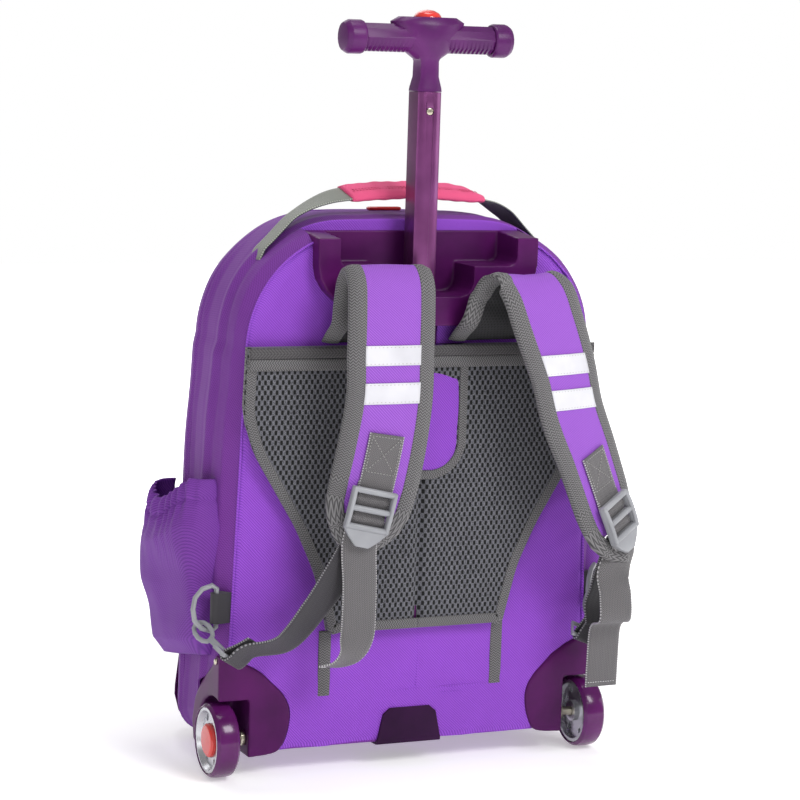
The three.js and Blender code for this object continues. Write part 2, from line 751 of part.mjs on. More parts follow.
function gripBody() {
  const neck = loft([
    { z: NECK_LOW, rx: 1.03, ry: 1.0 },
    { z: NECK_LOW + 3, rx: 1.0, ry: 0.97 },
    { z: NECK_LOW + 12, rx: 0.8, ry: 0.84 },
    { z: GRIP_Z - GRIP_R - 6, rx: 0.78, ry: 0.82 },
    { z: GRIP_Z - GRIP_R + 2, rx: 1.1, ry: 0.95 },
  ].map((row) => tubeOutline(0).map(([x, y]) => vec(x * row.rx, TUBE_Y + (y - TUBE_Y) * row.ry, row.z))));
  const hub = loft([
    ellipseRing(HUB_HALF * 0.34, HUB_DEPTH * 0.6, GRIP_Z - GRIP_R - 4.5, 16),
    ellipseRing(HUB_HALF * 0.62, HUB_DEPTH * 0.86, GRIP_Z - GRIP_R + 2, 16),
    ellipseRing(HUB_HALF * 0.74, HUB_DEPTH, GRIP_Z, 16),
    ellipseRing(HUB_HALF * 0.98, HUB_DEPTH, GRIP_Z + GRIP_R - 1.5, 16),
    ellipseRing(HUB_HALF, HUB_DEPTH * 0.94, GRIP_Z + GRIP_R + 1.5, 16),
    ellipseRing(HUB_HALF * 0.78, HUB_DEPTH * 0.8, GRIP_Z + HUB_TOP, 16),
  ]);
  const seat = solid(turned([
    [0, -BUTTON_STEM - BUTTON_TRAVEL], [BUTTON_R + GAP, -BUTTON_STEM - BUTTON_TRAVEL], [BUTTON_R + GAP, 8], [0, 8],
  ], 'z', 20).translate(0, TUBE_Y, GRIP_Z + HUB_TOP));
  const right = gripArm(ARM_START, CAP_START - GAP);
  const end = solid(turned([[0, 0], [GRIP_R - 3, 0], [GRIP_R - 3, 8], [0, 8]], 'x', 12)
    .translate(CAP_START - 1, TUBE_Y, GRIP_Z));
  const left = reflectX(right);
  const ends = end.add(solid(reflectX(geometryOf(end))));
  return joinAll([solid(neck), solid(hub), solid(right), solid(left), ends]).subtract(seat);
}
add('grip_body', geometryOf(gripBody()), PLUM, handle);

function gripCap() {
  const inside = GRIP_R - 3 + GAP;
  return turned([
    [inside, 0],
    [GRIP_CAP_R - 1, 0],
    [GRIP_CAP_R, 1.5],
    [GRIP_CAP_R, GRIP_CAP_L - 5],
    [GRIP_CAP_R - 2.5, GRIP_CAP_L - 1],
    [0, GRIP_CAP_L],
    [0, 8 - 1 + GAP],
    [inside, 8 - 1 + GAP],
    [inside, 0],
  ], 'x', 18).translate(CAP_START, TUBE_Y, GRIP_Z);
}
add('grip_cap_right', gripCap(), PLUM, handle);
add('grip_cap_left', reflectX(gripCap()), PLUM, handle);

const button = turned([
  [0, -BUTTON_STEM],
  [BUTTON_R, -BUTTON_STEM],
  [BUTTON_R, 0.4],
  [BUTTON_R * 0.82, BUTTON_DOME * 0.55],
  [BUTTON_R * 0.45, BUTTON_DOME * 0.9],
  [0, BUTTON_DOME],
], 'z', 20);
add('release_button', button.translate(0, TUBE_Y, GRIP_Z + HUB_TOP), RED, handle);

// Wheel housings, axles, wheels

addPair('wheel_housing', geometryOf(wheelHousing()), PLUM);

const WHEEL_INNER = WHEEL_FACE - WHEEL_W;
const axle = turned([
  [0, 0],
  [6.5, 0],
  [6.5, 4],
  [AXLE_R, 4],
  [AXLE_R, WHEEL_FACE - WELL_INNER - GAP - 5],
  [0, WHEEL_FACE - WELL_INNER - GAP - 5],
], 'x', 12);
const axleLeft = reflectX(axle.translate(WELL_INNER + GAP, 0, 0)).translate(0, WHEEL_Y, WHEEL_R);
addPair('wheel_axle', axleLeft, SILVER);

function onAxle(geometry) {
  return reflectX(geometry).translate(0, WHEEL_Y, WHEEL_R);
}

const tyre = turned([
  [HUB_R + GAP, WHEEL_INNER],
  [WHEEL_R - 3, WHEEL_INNER],
  [WHEEL_R - 0.6, WHEEL_INNER + 2.4],
  [WHEEL_R, WHEEL_INNER + WHEEL_W * 0.35],
  [WHEEL_R, WHEEL_INNER + WHEEL_W * 0.65],
  [WHEEL_R - 0.6, WHEEL_FACE - 2.4],
  [WHEEL_R - 3, WHEEL_FACE],
  [HUB_R + GAP, WHEEL_FACE],
  [HUB_R + GAP, WHEEL_INNER],
], 'x', 28);
addPair('tyre', onAxle(tyre), PLUM);

function wheelHub() {
  const disc = solid(turned([
    [AXLE_R + GAP, WHEEL_INNER + 1],
    [9, WHEEL_INNER + 1],
    [9, WHEEL_INNER + 6],
    [HUB_R - 3, WHEEL_INNER + 6],
    [HUB_R - 3, WHEEL_INNER + 1],
    [HUB_R, WHEEL_INNER + 1],
    [HUB_R, WHEEL_FACE - 0.6],
    [HUB_R - 2.5, WHEEL_FACE - 0.6],
    [HUB_R - 4.5, WHEEL_FACE - 5],
    [CAP_R + GAP, WHEEL_FACE - 4],
    [CAP_R + GAP, WHEEL_FACE - 6],
    [AXLE_R + GAP, WHEEL_FACE - 6],
    [AXLE_R + GAP, WHEEL_INNER + 1],
  ], 'x', 20));
  const holes = [];
  for (let k = 0; k < SPOKE_HOLES; k += 1) {
    const a = ((k + 0.5) * 2 * Math.PI) / SPOKE_HOLES;
    const r = (CAP_R + HUB_R - 4) / 2 + 0.6;
    const hole = turned([[0, WHEEL_INNER - 5], [3, WHEEL_INNER - 5], [3, WHEEL_FACE + 5], [0, WHEEL_FACE + 5]], 'x', 6);
    holes.push(solid(hole.translate(0, r * Math.sin(a), r * Math.cos(a))));
  }
  return disc.subtract(joinAll(holes));
}
addPair('wheel_hub', onAxle(geometryOf(wheelHub())), SILVER);

const cap = turned([
  [0, WHEEL_FACE - 4.5],
  [CAP_R, WHEEL_FACE - 4.5],
  [CAP_R, WHEEL_FACE - 1.5],
  [CAP_R - 2, WHEEL_FACE],
  [0, WHEEL_FACE + 0.5],
], 'x', 20);
addPair('wheel_cap', onAxle(cap), RED);

const rivet = turned([[0, GAP], [RIVET_R, GAP], [RIVET_R, 1.2], [RIVET_R * 0.6, 1.8], [0, 1.8]], 'x', 10);
addPair('housing_rivet', reflectX(rivet.translate(HOUSING_FACE, 0, 0)).translate(0, 4, HOUSING_HIGH - 6), SILVER);

// Skid plate and front feet follow the bag's skin

const plateSkin = bodyLump(SOFT_GAP + PLATE_T);
const skidOutline = [
  [-SKID_HALF_LOW, -5], [SKID_HALF_LOW, -5], [SKID_HALF_LOW, 21],
  [SKID_HALF_TOP, SKID_TOP - 5], [SKID_HALF_TOP - 6, SKID_TOP],
  [-SKID_HALF_TOP + 6, SKID_TOP], [-SKID_HALF_TOP, SKID_TOP - 5], [-SKID_HALF_LOW, 21],
];
const skid = plateSkin.intersect(solid(prism('y', skidOutline, -20, SKID_REACH))).subtract(bagRoom);
add('skid_plate', geometryOf(skid), PLUM);

function frontFoot() {
  const cornerSide = [
    [FOOT_REAR, -5], [BODY_FRONT + 20, -5], [BODY_FRONT + 20, FOOT_TOP], [BODY_FRONT - 6, FOOT_TOP],
  ];
  const corner = plateSkin.intersect(solid(prism('x', cornerSide, -BODY_HALF - 20, -POCKET_HALF - 2)));
  const pad = solid(prism('z',
    roundRect(-FOOT_PAD_OUT, -FOOT_PAD_IN, FOOT_PAD_REAR, FOOT_PAD_FRONT, 6), 0, BODY_BASE));
  return corner.add(pad);
}
addPair('front_foot', geometryOf(frontFoot()), PLUM, bagRoom);

// Back panel: mesh pad, tube cover, yoke band and binding

function coverOutline(out) {
  return [
    ...arc(COVER_HALF - COVER_R, COVER_LOW + COVER_R, COVER_R + out, -90, 0, 4),
    [COVER_HALF + out, PAD_TOP + 12 * out],
    [-COVER_HALF - out, PAD_TOP + 12 * out],
    ...arc(-COVER_HALF + COVER_R, COVER_LOW + COVER_R, COVER_R + out, 180, 270, 4),
  ];
}

// Rows down the side of the mesh pad: share of its half-width drop, share of its height.
const PAD_EDGE = [
  { drop: 1, up: 0 },
  { drop: 0.84, up: 0.21 },
  { drop: 0.63, up: 0.36 },
  { drop: 0.36, up: 0.51 },
  { drop: 0.12, up: 0.64 },
  { drop: 0, up: 0.77 },
];

function padOutline() {
  const half = PAD_EDGE.map((row) => [
    PAD_HALF_TOP - row.drop * (PAD_HALF_TOP - PAD_HALF_LOW),
    mix(PAD_LOW, PAD_TOP, row.up),
  ]);
  half.push([PAD_HALF_TOP - 2, PAD_TOP]);
  return [...half, ...mirrored(half)];
}

function meshPad() {
  const pad = solid(bevelled('y', padOutline(), PANEL_OUT - PAD_T, PANEL_OUT, 2.5));
  const slot = solid(prism('y', coverOutline(SOFT_GAP), -PAD_T - 10, 5));
  const channel = solid(box(-guideHalf, guideHalf, GUIDE_REAR - SOFT_GAP, 5, GUIDE_LOW - 5, PAD_TOP + 5));
  const groove = solid(prism('z',
    [[-GROOVE_W, -PAD_T - 2], [GROOVE_W, -PAD_T - 2], [0, PANEL_OUT - PAD_T + GROOVE_D]], PAD_LOW - 5, COVER_LOW + 5));
  return pad.subtract(slot).subtract(channel).subtract(groove);
}
add('mesh_pad', geometryOf(meshPad()), MESH_GREY);

function tubeCover() {
  const cover = solid(bevelled('y', coverOutline(0), PANEL_OUT - PAD_T, PANEL_OUT, 2.5));
  const channel = solid(box(-guideHalf, guideHalf, GUIDE_REAR - SOFT_GAP, 5, GUIDE_LOW - 5, PAD_TOP + 5));
  return cover.subtract(channel);
}
add('tube_cover', geometryOf(tubeCover()), FABRIC);

const bandInner = PANEL_OUT - PAD_T - GAP;
add('yoke_band', box(-BAND_HALF, BAND_HALF, bandInner - BAND_T, bandInner, PAD_TOP - BAND_H, PAD_TOP), GREY_WEB);

addPair('binding_strip',
  box(-BINDING_X - BINDING_W / 2, -BINDING_X + BINDING_W / 2, PANEL_OUT - BINDING_T, PANEL_OUT,
    BINDING_LOW, PAD_LOW - SOFT_GAP), GREY_WEB);

// Straps

// A band swept along a path. Each station holds its place, its width direction,
// its width and its thickness; the section has soft edges when `edge` is above zero.
function ribbon(stations, edge = 0) {
  const rings = stations.map((station, k) => {
    const before = stations[Math.max(0, k - 1)].at;
    const after = stations[Math.min(stations.length - 1, k + 1)].at;
    const along = after.clone().sub(before).normalize();
    const across = station.across.clone();
    across.addScaledVector(along, -across.dot(along)).normalize();
    const up = along.clone().cross(across).normalize();
    const w = station.width / 2;
    const t = station.thick / 2;
    const flat = edge > 0
      ? [[-w, 0], [-w + edge, -t], [0, -t], [w - edge, -t], [w, 0], [w - edge, t], [0, t], [-w + edge, t]]
      : [[-w, -t], [w, -t], [w, t], [-w, t]];
    return flat.map(([u, v]) => station.at.clone().addScaledVector(across, u).addScaledVector(up, v));
  });
  return loft(rings);
}

// Rows of a strap: x from its base, y as a share of STRAP_REACH, z as a share between
// its lower end and its crest, turn in degrees about Z, and shares of its width and thickness.
const STRAP_RUN_LEFT = [
  { x: 0, reach: 0.11, up: 0.706, turn: 0, width: 1, thick: 0.5 },
  { x: 0, reach: 0.23, up: 0.735, turn: 0, width: 1, thick: 0.7 },
  { x: 1, reach: 0.41, up: 0.785, turn: 0, width: 1, thick: 0.9 },
  { x: 2, reach: 0.44, up: 0.87, turn: 0, width: 1, thick: 1 },
  { x: 3, reach: 0.5, up: 0.955, turn: 0, width: 1, thick: 1 },
  { x: 4, reach: 0.66, up: 1, turn: 0, width: 1, thick: 1 },
  { x: 4, reach: 0.86, up: 0.95, turn: 0, width: 1, thick: 1 },
  { x: 3, reach: 0.95, up: 0.85, turn: 0, width: 1, thick: 1 },
  { x: 2, reach: 1, up: 0.68, turn: 0, width: 1, thick: 1 },
  { x: 2, reach: 1, up: 0.5, turn: 0, width: 1, thick: 1 },
  { x: -3, reach: 0.98, up: 0.3, turn: -4, width: 1, thick: 1 },
  { x: -10, reach: 0.94, up: 0.11, turn: -6, width: 0.95, thick: 0.9 },
  { x: -15, reach: 0.92, up: 0.02, turn: -6, width: 0.6, thick: 0.7 },
];
const STRAP_RUN_RIGHT = [
  { x: 0, reach: 0.11, up: 0.706, turn: 0, width: 1, thick: 0.5 },
  { x: 0, reach: 0.23, up: 0.735, turn: 2, width: 1, thick: 0.7 },
  { x: 1, reach: 0.44, up: 0.785, turn: 4, width: 1, thick: 0.9 },
  { x: 6, reach: 0.48, up: 0.85, turn: 6, width: 1, thick: 1 },
  { x: 12, reach: 0.54, up: 0.92, turn: 8, width: 1, thick: 1 },
  { x: 17, reach: 0.68, up: 0.955, turn: 10, width: 1, thick: 1 },
  { x: 23, reach: 0.86, up: 0.9, turn: 13, width: 1, thick: 1 },
  { x: 32, reach: 0.92, up: 0.78, turn: 16, width: 1, thick: 1 },
  { x: 46, reach: 0.92, up: 0.6, turn: 20, width: 1, thick: 1 },
  { x: 57, reach: 0.9, up: 0.42, turn: 22, width: 1, thick: 1 },
  { x: 73, reach: 0.88, up: 0.24, turn: 24, width: 1, thick: 1 },
  { x: 91, reach: 0.87, up: 0.02, turn: 26, width: 0.95, thick: 0.9 },
  { x: 100, reach: 0.87, up: -0.07, turn: 26, width: 0.6, thick: 0.7 },
];
const STRAP_BASE_LEFT = -53;
const STRAP_BASE_RIGHT = 60;

function turnedAcross(degrees) {
  const angle = THREE.MathUtils.degToRad(degrees);
  return vec(Math.cos(angle), Math.sin(angle), 0);
}

function strapStations(rows, baseX) {
  return rows.map((row) => ({
    at: vec(baseX + row.x, -STRAP_REACH * row.reach, mix(PAD_END_Z, STRAP_CREST_Z, row.up)),
    across: turnedAcross(row.turn),
    width: STRAP_W * row.width,
    thick: STRAP_T * row.thick,
  }));
}

// The place where a strap's hardware sits: u runs across, v down the strap from its tip
// and w outwards from its front face.
function strapEnd(stations) {
  const tip = stations[stations.length - 1];
  const upper = stations[stations.length - 3];
  const down = tip.at.clone().sub(upper.at).normalize();
  const across = tip.across.clone().addScaledVector(down, -tip.across.dot(down)).normalize();
  const out = down.clone().cross(across).normalize();
  if (out.y > 0) out.negate();
  const face = upper.at.clone().addScaledVector(out, STRAP_T / 2);
  const origin = face.addScaledVector(down, tip.at.clone().sub(upper.at).length());
  return new THREE.Matrix4().makeBasis(across, down, out).setPosition(origin);
}

function placed(geometry, frame) {
  return faceOut(mergeVertices(bare(geometry).applyMatrix4(frame), 1e-4));
}

// Ladder-lock buckle: a frame with two windows and a rounded pull tongue.
function ladderLock() {
  const w = BUCKLE_W / 2;
  const outline = [
    [-w, BUCKLE_FROM], [w, BUCKLE_FROM], [w, BUCKLE_TO],
    [w * 0.66, BUCKLE_TO + TONGUE_L * 0.55], [w * 0.3, BUCKLE_TO + TONGUE_L],
    [-w * 0.3, BUCKLE_TO + TONGUE_L], [-w * 0.66, BUCKLE_TO + TONGUE_L * 0.55], [-w, BUCKLE_TO],
  ];
  const inner = w - BUCKLE_RAIL;
  const span = (BUCKLE_TO - BUCKLE_FROM - 3 * BUCKLE_BAR) / 2;
  const windows = [0, 1].map((k) => {
    const start = BUCKLE_FROM + BUCKLE_BAR + k * (span + BUCKLE_BAR);
    return [[-inner, start], [-inner, start + span], [inner, start + span], [inner, start]];
  });
  return bevelled('z', outline, BUCKLE_SEAT, BUCKLE_SEAT + BUCKLE_T, 0.8, windows);
}

function strapSet(side, rows, baseX) {
  const stations = strapStations(rows, baseX);
  add(`shoulder_strap_${side}`, ribbon(stations, 3), FABRIC);
  const frame = strapEnd(stations);
  const patch = box(-WEB_W / 2, WEB_W / 2, -PATCH_TOP, -2, PATCH_SEAT, PATCH_SEAT + WEB_T);
  add(`adjuster_web_${side}`, placed(patch, frame), GREY_WEB);
  add(`ladder_lock_${side}`, placed(ladderLock(), frame), LIGHT_GREY);
  return frame;
}

const frameLeft = strapSet('left', STRAP_RUN_LEFT, STRAP_BASE_LEFT);
const frameRight = strapSet('right', STRAP_RUN_RIGHT, STRAP_BASE_RIGHT);

// D rings, their tabs and the snap hooks

// A closed loop of round wire through a closed path of points.
function hoop(path, radius, sides) {
  const points = [];
  const index = [];
  const count = path.length;
  const centre = path.reduce((sum, point) => sum.add(point), vec(0, 0, 0)).divideScalar(count);
  path.forEach((point, k) => {
    const along = path[(k + 1) % count].clone().sub(path[(k + count - 1) % count]).normalize();
    const outward = point.clone().sub(centre);
    outward.addScaledVector(along, -outward.dot(along)).normalize();
    const side = along.clone().cross(outward);
    for (let j = 0; j < sides; j += 1) {
      const a = (2 * Math.PI * j) / sides;
      points.push(point.clone().addScaledVector(outward, radius * Math.cos(a)).addScaledVector(side, radius * Math.sin(a)));
    }
  });
  for (let k = 0; k < count; k += 1) {
    for (let j = 0; j < sides; j += 1) {
      const [a, b] = [k * sides + j, k * sides + ((j + 1) % sides)];
      const [c, d] = [((k + 1) % count) * sides + j, ((k + 1) % count) * sides + ((j + 1) % sides)];
      index.push(a, b, d, a, d, c);
    }
  }
  const geometry = new THREE.BufferGeometry();
  geometry.setAttribute('position', new THREE.Float32BufferAttribute(points.flatMap((p) => p.toArray()), 3));
  geometry.setIndex(index);
  return faceOut(geometry);
}

const RING_MIDDLE = (RING_LOW + RING_HIGH) / 2;

// A D ring whose straight side stands on its tab and whose bow points along `degrees`.
function dRing(barX, degrees) {
  const half = (RING_HIGH - RING_LOW) / 2 - RING_WIRE;
  const bow = RING_BOW - RING_WIRE;
  const flat = [[0, -half * 0.86], [0, 0], [0, half * 0.86], [bow * 0.2, half]];
  flat.push([bow * 0.62, half * 0.86], [bow * 0.92, half * 0.5], [bow, 0], [bow * 0.92, -half * 0.5]);
  flat.push([bow * 0.62, -half * 0.86], [bow * 0.2, -half]);
  const angle = THREE.MathUtils.degToRad(degrees);
  return hoop(flat.map(([d, z]) => vec(barX + d * Math.cos(angle), RING_Y + d * Math.sin(angle), RING_MIDDLE + z)), RING_WIRE, 6);
}

function ringTab(side) {
  const bar = side * RING_BAR_X;
  const outer = TAB_R;
  const root = side * (RING_BAR_X - 16);
  const roll = circle(bar, RING_Y, outer, 12);
  const tail = side < 0
    ? [[bar, RING_Y - outer], [root, RING_Y - 1], [root, RING_Y + outer + 4], [bar, RING_Y + outer]]
    : [[root, RING_Y - 1], [bar, RING_Y - outer], [bar, RING_Y + outer], [root, RING_Y + outer + 4]];
  const low = RING_MIDDLE - TAB_H / 2;
  const body = solid(prism('z', roll, low, low + TAB_H)).add(solid(prism('z', tail, low, low + TAB_H)));
  const bore = solid(prism('z', circle(bar, RING_Y, RING_WIRE + GAP, 8), low - 5, low + TAB_H + 5));
  return body.subtract(bore).subtract(bagRoom);
}

for (const [side, sign, bow] of [['left', -1, 180], ['right', 1, RING_RIGHT_TURN]]) {
  add(`ring_tab_${side}`, geometryOf(ringTab(sign)), GREY_WEB);
  add(`d_ring_${side}`, dRing(sign * RING_BAR_X, bow), LIGHT_GREY);
}

// A snap hook: an eye that holds the ring, a neck and a wide loop for the web.
// Its own frame has the eye's far end at 0 and runs along +X; the loop lies in X and Y
// and the eye stands in X and Z.
const BAR_AT = HOOK_L;

function snapHook() {
  const eye = [];
  for (let k = 0; k < 12; k += 1) {
    const a = (2 * Math.PI * k) / 12;
    eye.push(vec(EYE_L / 2 + (EYE_L / 2) * Math.cos(a), 0, (EYE_W / 2) * Math.sin(a)));
  }
  const loopHalf = WEB_W / 2 + HOOK_WIRE + 1;
  const loop = [
    vec(BAR_AT - LOOP_L, -loopHalf, 0), vec(BAR_AT, -loopHalf, 0),
    vec(BAR_AT, loopHalf, 0), vec(BAR_AT - LOOP_L, loopHalf, 0),
  ];
  const neck = box(EYE_L - 1.5, BAR_AT - LOOP_L, -HOOK_T / 2, HOOK_T / 2, -HOOK_T / 2, HOOK_T / 2);
  return geometryOf(joinAll([solid(hoop(eye, HOOK_WIRE, 8)), solid(neck), solid(hoop(loop, HOOK_WIRE, 6))]));
}

function hookFrame(from, to, across) {
  const along = to.clone().sub(from).normalize();
  const wide = across.clone().addScaledVector(along, -across.dot(along)).normalize();
  return new THREE.Matrix4().makeBasis(along, wide, along.clone().cross(wide)).setPosition(from);
}

function at(frame, u, v, w) {
  return vec(u, v, w).applyMatrix4(frame);
}

// The web comes down from the adjuster, turns round the hook's bar and lies back behind
// itself. `lean` is the angle at which it leaves the bar, towards the eye.
function loadWeb(end, between, hook, lean) {
  const turn = HOOK_WIRE + GAP + WEB_T / 2 + 0.3;
  const a = THREE.MathUtils.degToRad(lean);
  const spot = (side, along) => at(hook,
    BAR_AT + turn * side * Math.cos(a) - along * Math.sin(a), 0, turn * side * Math.sin(a) + along * Math.cos(a));
  const path = [at(end, 0, 5, -2.6), ...between, spot(1, 16), spot(1, 4)];
  for (const degrees of [0, -45, -90, -135, -180]) {
    const b = a + THREE.MathUtils.degToRad(degrees);
    path.push(at(hook, BAR_AT + turn * Math.cos(b), 0, turn * Math.sin(b)));
  }
  path.push(spot(-1, 4), spot(-0.3, 13), spot(0.2, 24));
  const topAcross = vec(0, 0, 0).setFromMatrixColumn(end, 0);
  const lowAcross = vec(0, 0, 0).setFromMatrixColumn(hook, 1);
  const bend = between.length + 1;
  return ribbon(path.map((point, k) => ({
    at: point,
    across: topAcross.clone().lerp(lowAcross, Math.min(1, k / bend)),
    width: WEB_W,
    thick: WEB_T,
  })));
}

// The free end of the web, from the adjuster down.
function strapTail(end, rows) {
  const across = vec(0, 0, 0).setFromMatrixColumn(end, 0);
  const seat = BUCKLE_SEAT - GAP * 1.4 - WEB_T / 2;
  const stations = [
    { at: at(end, 0, 3, seat), across, width: WEB_W, thick: WEB_T },
    { at: at(end, 0, BUCKLE_TO + TONGUE_L, seat * 0.4), across, width: WEB_W, thick: WEB_T },
  ];
  for (const { at: place, wide = [1, 0, 0] } of rows) {
    stations.push({ at: beside(place), across: vec(...wide), width: WEB_W, thick: WEB_T });
  }
  return ribbon(stations);
}

// A place beside the straps: shares of BODY_HALF, of STRAP_REACH towards the wearer and
// of PAD_END_Z.
function beside([x, reach, up]) {
  return vec(BODY_HALF * x, -STRAP_REACH * reach, PAD_END_Z * up);
}

// Each hook: the eye's far end, the middle of its bar and its width direction. Each web and
// tail: the places that it passes, each with a width direction where it turns.
const HANGING = {
  left: {
    eye: [-1.0743, -0.1518, 0.5917],
    bar: [-0.96, 0.5536, 0.4817],
    wide: [0.62, 0.69, -0.38],
    lean: -12,
    web: [[-0.4343, 0.875, 0.8899], [-0.5029, 0.875, 0.8073], [-0.6057, 0.8214, 0.6835], [-0.7371, 0.75, 0.5596]],
    tail: [
      { at: [-0.4143, 1.0179, 0.7798] },
      { at: [-0.4114, 1, 0.6651] },
      { at: [-0.4143, 0.9821, 0.578] },
      { at: [-0.44, 0.9643, 0.5138], wide: [0.9, 0.35, -0.25] },
      { at: [-0.5029, 0.9107, 0.4725], wide: [0.6, 0.75, -0.3] },
      { at: [-0.5771, 0.8214, 0.4633], wide: [0.5, 0.85, -0.2] },
    ],
  },
  right: {
    eye: [0.9406, 0.0821, 0.6358],
    bar: [0.8663, 0.5768, 0.4844],
    wide: [0.95, 0.3, 0],
    lean: 40,
    web: [[0.92, 0.7321, 0.7844], [0.9029, 0.7143, 0.6881], [0.8914, 0.6786, 0.6193]],
    tail: [
      { at: [0.9029, 1.0357, 0.7615] },
      { at: [0.8971, 1.1607, 0.6881] },
      { at: [0.8857, 1.2679, 0.6147] },
      { at: [0.8857, 1.2143, 0.5826] },
      { at: [0.8886, 1, 0.5642] },
      { at: [0.8886, 0.9107, 0.5229] },
      { at: [0.8903, 0.875, 0.4128] },
      { at: [0.8914, 0.8571, 0.3073] },
    ],
  },
};

for (const [side, end] of [['left', frameLeft], ['right', frameRight]]) {
  const row = HANGING[side];
  const hook = hookFrame(beside(row.eye), beside(row.bar), vec(...row.wide));
  add(`snap_hook_${side}`, placed(snapHook(), hook), LIGHT_GREY);
  add(`load_web_${side}`, loadWeb(end, row.web.map(beside), hook, row.lean), GREY_WEB);
  add(`strap_tail_${side}`, strapTail(end, row.tail), GREY_WEB);
}

// Carry handle

// Rows: shares of HANDLE_HALF, of the skew, and of the height between the ends and the top.
const HANDLE_RUN = [
  { x: -1.08, up: -0.24 },
  { x: -1, up: 0 },
  { x: -0.84, up: 0.4 },
  { x: -0.64, up: 0.74 },
  { x: -0.42, up: 0.92 },
  { x: 0, up: 1 },
  { x: 0.42, up: 0.94 },
  { x: 0.64, up: 0.78 },
  { x: 0.84, up: 0.42 },
  { x: 1, up: 0 },
  { x: 1.08, up: -0.24 },
];

function handleStations(rows, width, thick) {
  return rows.map((row) => ({
    at: vec(HANDLE_HALF * row.x, HANDLE_Y + HANDLE_SKEW * row.x, mix(HANDLE_END_Z, HANDLE_TOP, row.up)),
    across: vec(0, 1, HANDLE_TILT),
    width,
    thick,
  }));
}

const handleWeb = solid(ribbon(handleStations(HANDLE_RUN, HANDLE_WEB_W, WEB_T))).subtract(bagRoom);
add('carry_handle_web', geometryOf(handleWeb), GREY_WEB);
const padRun = HANDLE_RUN.slice(4, 8);
padRun[0] = { ...padRun[0], x: -0.43 };
padRun[padRun.length - 1] = { ...padRun[padRun.length - 1], x: 0.6, up: 0.815 };
const sleeve = solid(ribbon(handleStations(padRun, HANDLE_PAD_W, HANDLE_PAD_T), 2.5))
  .subtract(solid(ribbon(handleStations(HANDLE_RUN, HANDLE_WEB_W + 2 * GAP, WEB_T + 2 * GAP))));
add('carry_handle_pad', geometryOf(sleeve), PINK);

const pull = solid(box(PULL_X - PULL_L / 2, PULL_X + PULL_L / 2, PULL_Y, PULL_Y + 7, BODY_TOP - 6, PULL_Z));
add('zip_pull', geometryOf(pull.subtract(bagRoom)), RED);

// Origin: under the middle of the overall box
bag.position.set(0, -ORIGIN_Y, 0);

export default bag;
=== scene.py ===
# %% [markdown]
# # A wheeled backpack
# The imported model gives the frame: every hard piece and every limit of size. This script
# dresses it. Soft pieces are rebuilt as cloth, webbing and foam, hard pieces get rounded
# edges and moulded or lacquered finishes, and a camera looks at the strap side.

# %% Load the frame
import json
import math
import bpy
import numpy as np
from mathutils import Matrix, Vector


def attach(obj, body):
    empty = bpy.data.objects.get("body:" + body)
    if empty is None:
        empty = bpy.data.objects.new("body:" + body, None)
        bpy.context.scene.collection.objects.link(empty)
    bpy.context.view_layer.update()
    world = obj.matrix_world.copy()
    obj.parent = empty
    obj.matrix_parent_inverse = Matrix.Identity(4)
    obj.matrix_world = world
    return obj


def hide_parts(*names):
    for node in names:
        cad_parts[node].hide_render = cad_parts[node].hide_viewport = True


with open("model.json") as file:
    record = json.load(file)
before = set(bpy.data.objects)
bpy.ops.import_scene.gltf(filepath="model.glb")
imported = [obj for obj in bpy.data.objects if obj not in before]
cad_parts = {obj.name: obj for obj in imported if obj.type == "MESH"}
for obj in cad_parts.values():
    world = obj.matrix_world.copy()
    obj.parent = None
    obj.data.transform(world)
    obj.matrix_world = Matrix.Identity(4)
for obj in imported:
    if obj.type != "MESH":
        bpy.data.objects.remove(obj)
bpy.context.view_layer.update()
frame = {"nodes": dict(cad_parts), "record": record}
ORIGIN_Y = 59.0
SIDES = {"left": -1, "right": 1}


def row(point):
    """A place in millimetres, y from the back panel, as metres in the row frame."""
    x, y, z = point
    return (x / 1000, (y - ORIGIN_Y) / 1000, z / 1000)


def deselect():
    """An operator acts on all that is selected, so nothing is left selected."""
    if bpy.context.object and bpy.context.object.mode != "OBJECT":
        bpy.ops.object.mode_set(mode="OBJECT")
    bpy.ops.object.select_all(action="DESELECT")


deselect()

# %% [markdown]
# ## The camera
# The bag is seen from its strap side, from the left and a little above, with a long lens.
# The distance and the lens come from the bag's own vertical and horizontal edges.

# %% Camera
AZIMUTH = math.radians(-23.86)
PITCH = math.radians(7.87)
ROLL = math.radians(1.85)
DISTANCE = 2.1481
FOCAL_PX = 2604.3
SENSOR_MM = 36.0
IMAGE_PX = 800

target = Vector(row((-17.05, 0.0, 309.4)))
back = Vector((math.sin(AZIMUTH) * math.cos(PITCH), -math.cos(AZIMUTH) * math.cos(PITCH),
               math.sin(PITCH)))
level = (-back).cross(Vector((0, 0, 1))).normalized()
upright = level.cross(-back)
across = level * math.cos(ROLL) + upright * math.sin(ROLL)
above = upright * math.cos(ROLL) - level * math.sin(ROLL)
camera_data = bpy.data.cameras.new("camera")
camera_data.sensor_width = SENSOR_MM
camera_data.lens = FOCAL_PX * SENSOR_MM / IMAGE_PX
camera = bpy.data.objects.new("camera", camera_data)
bpy.context.scene.collection.objects.link(camera)
turn = Matrix((across, above, back)).transposed().to_4x4()
camera.matrix_world = Matrix.Translation(target + back * DISTANCE) @ turn
bpy.context.scene.camera = camera

# %% [markdown]
# ## Floor and light
# A plain pale floor and five large soft lamps give the even shadowless look of a studio.

# %% Floor, world and lamps
FLOOR_SIZE = 9.0
WORLD_LIGHT = 0.34
FLOOR_GLOW = 0.36


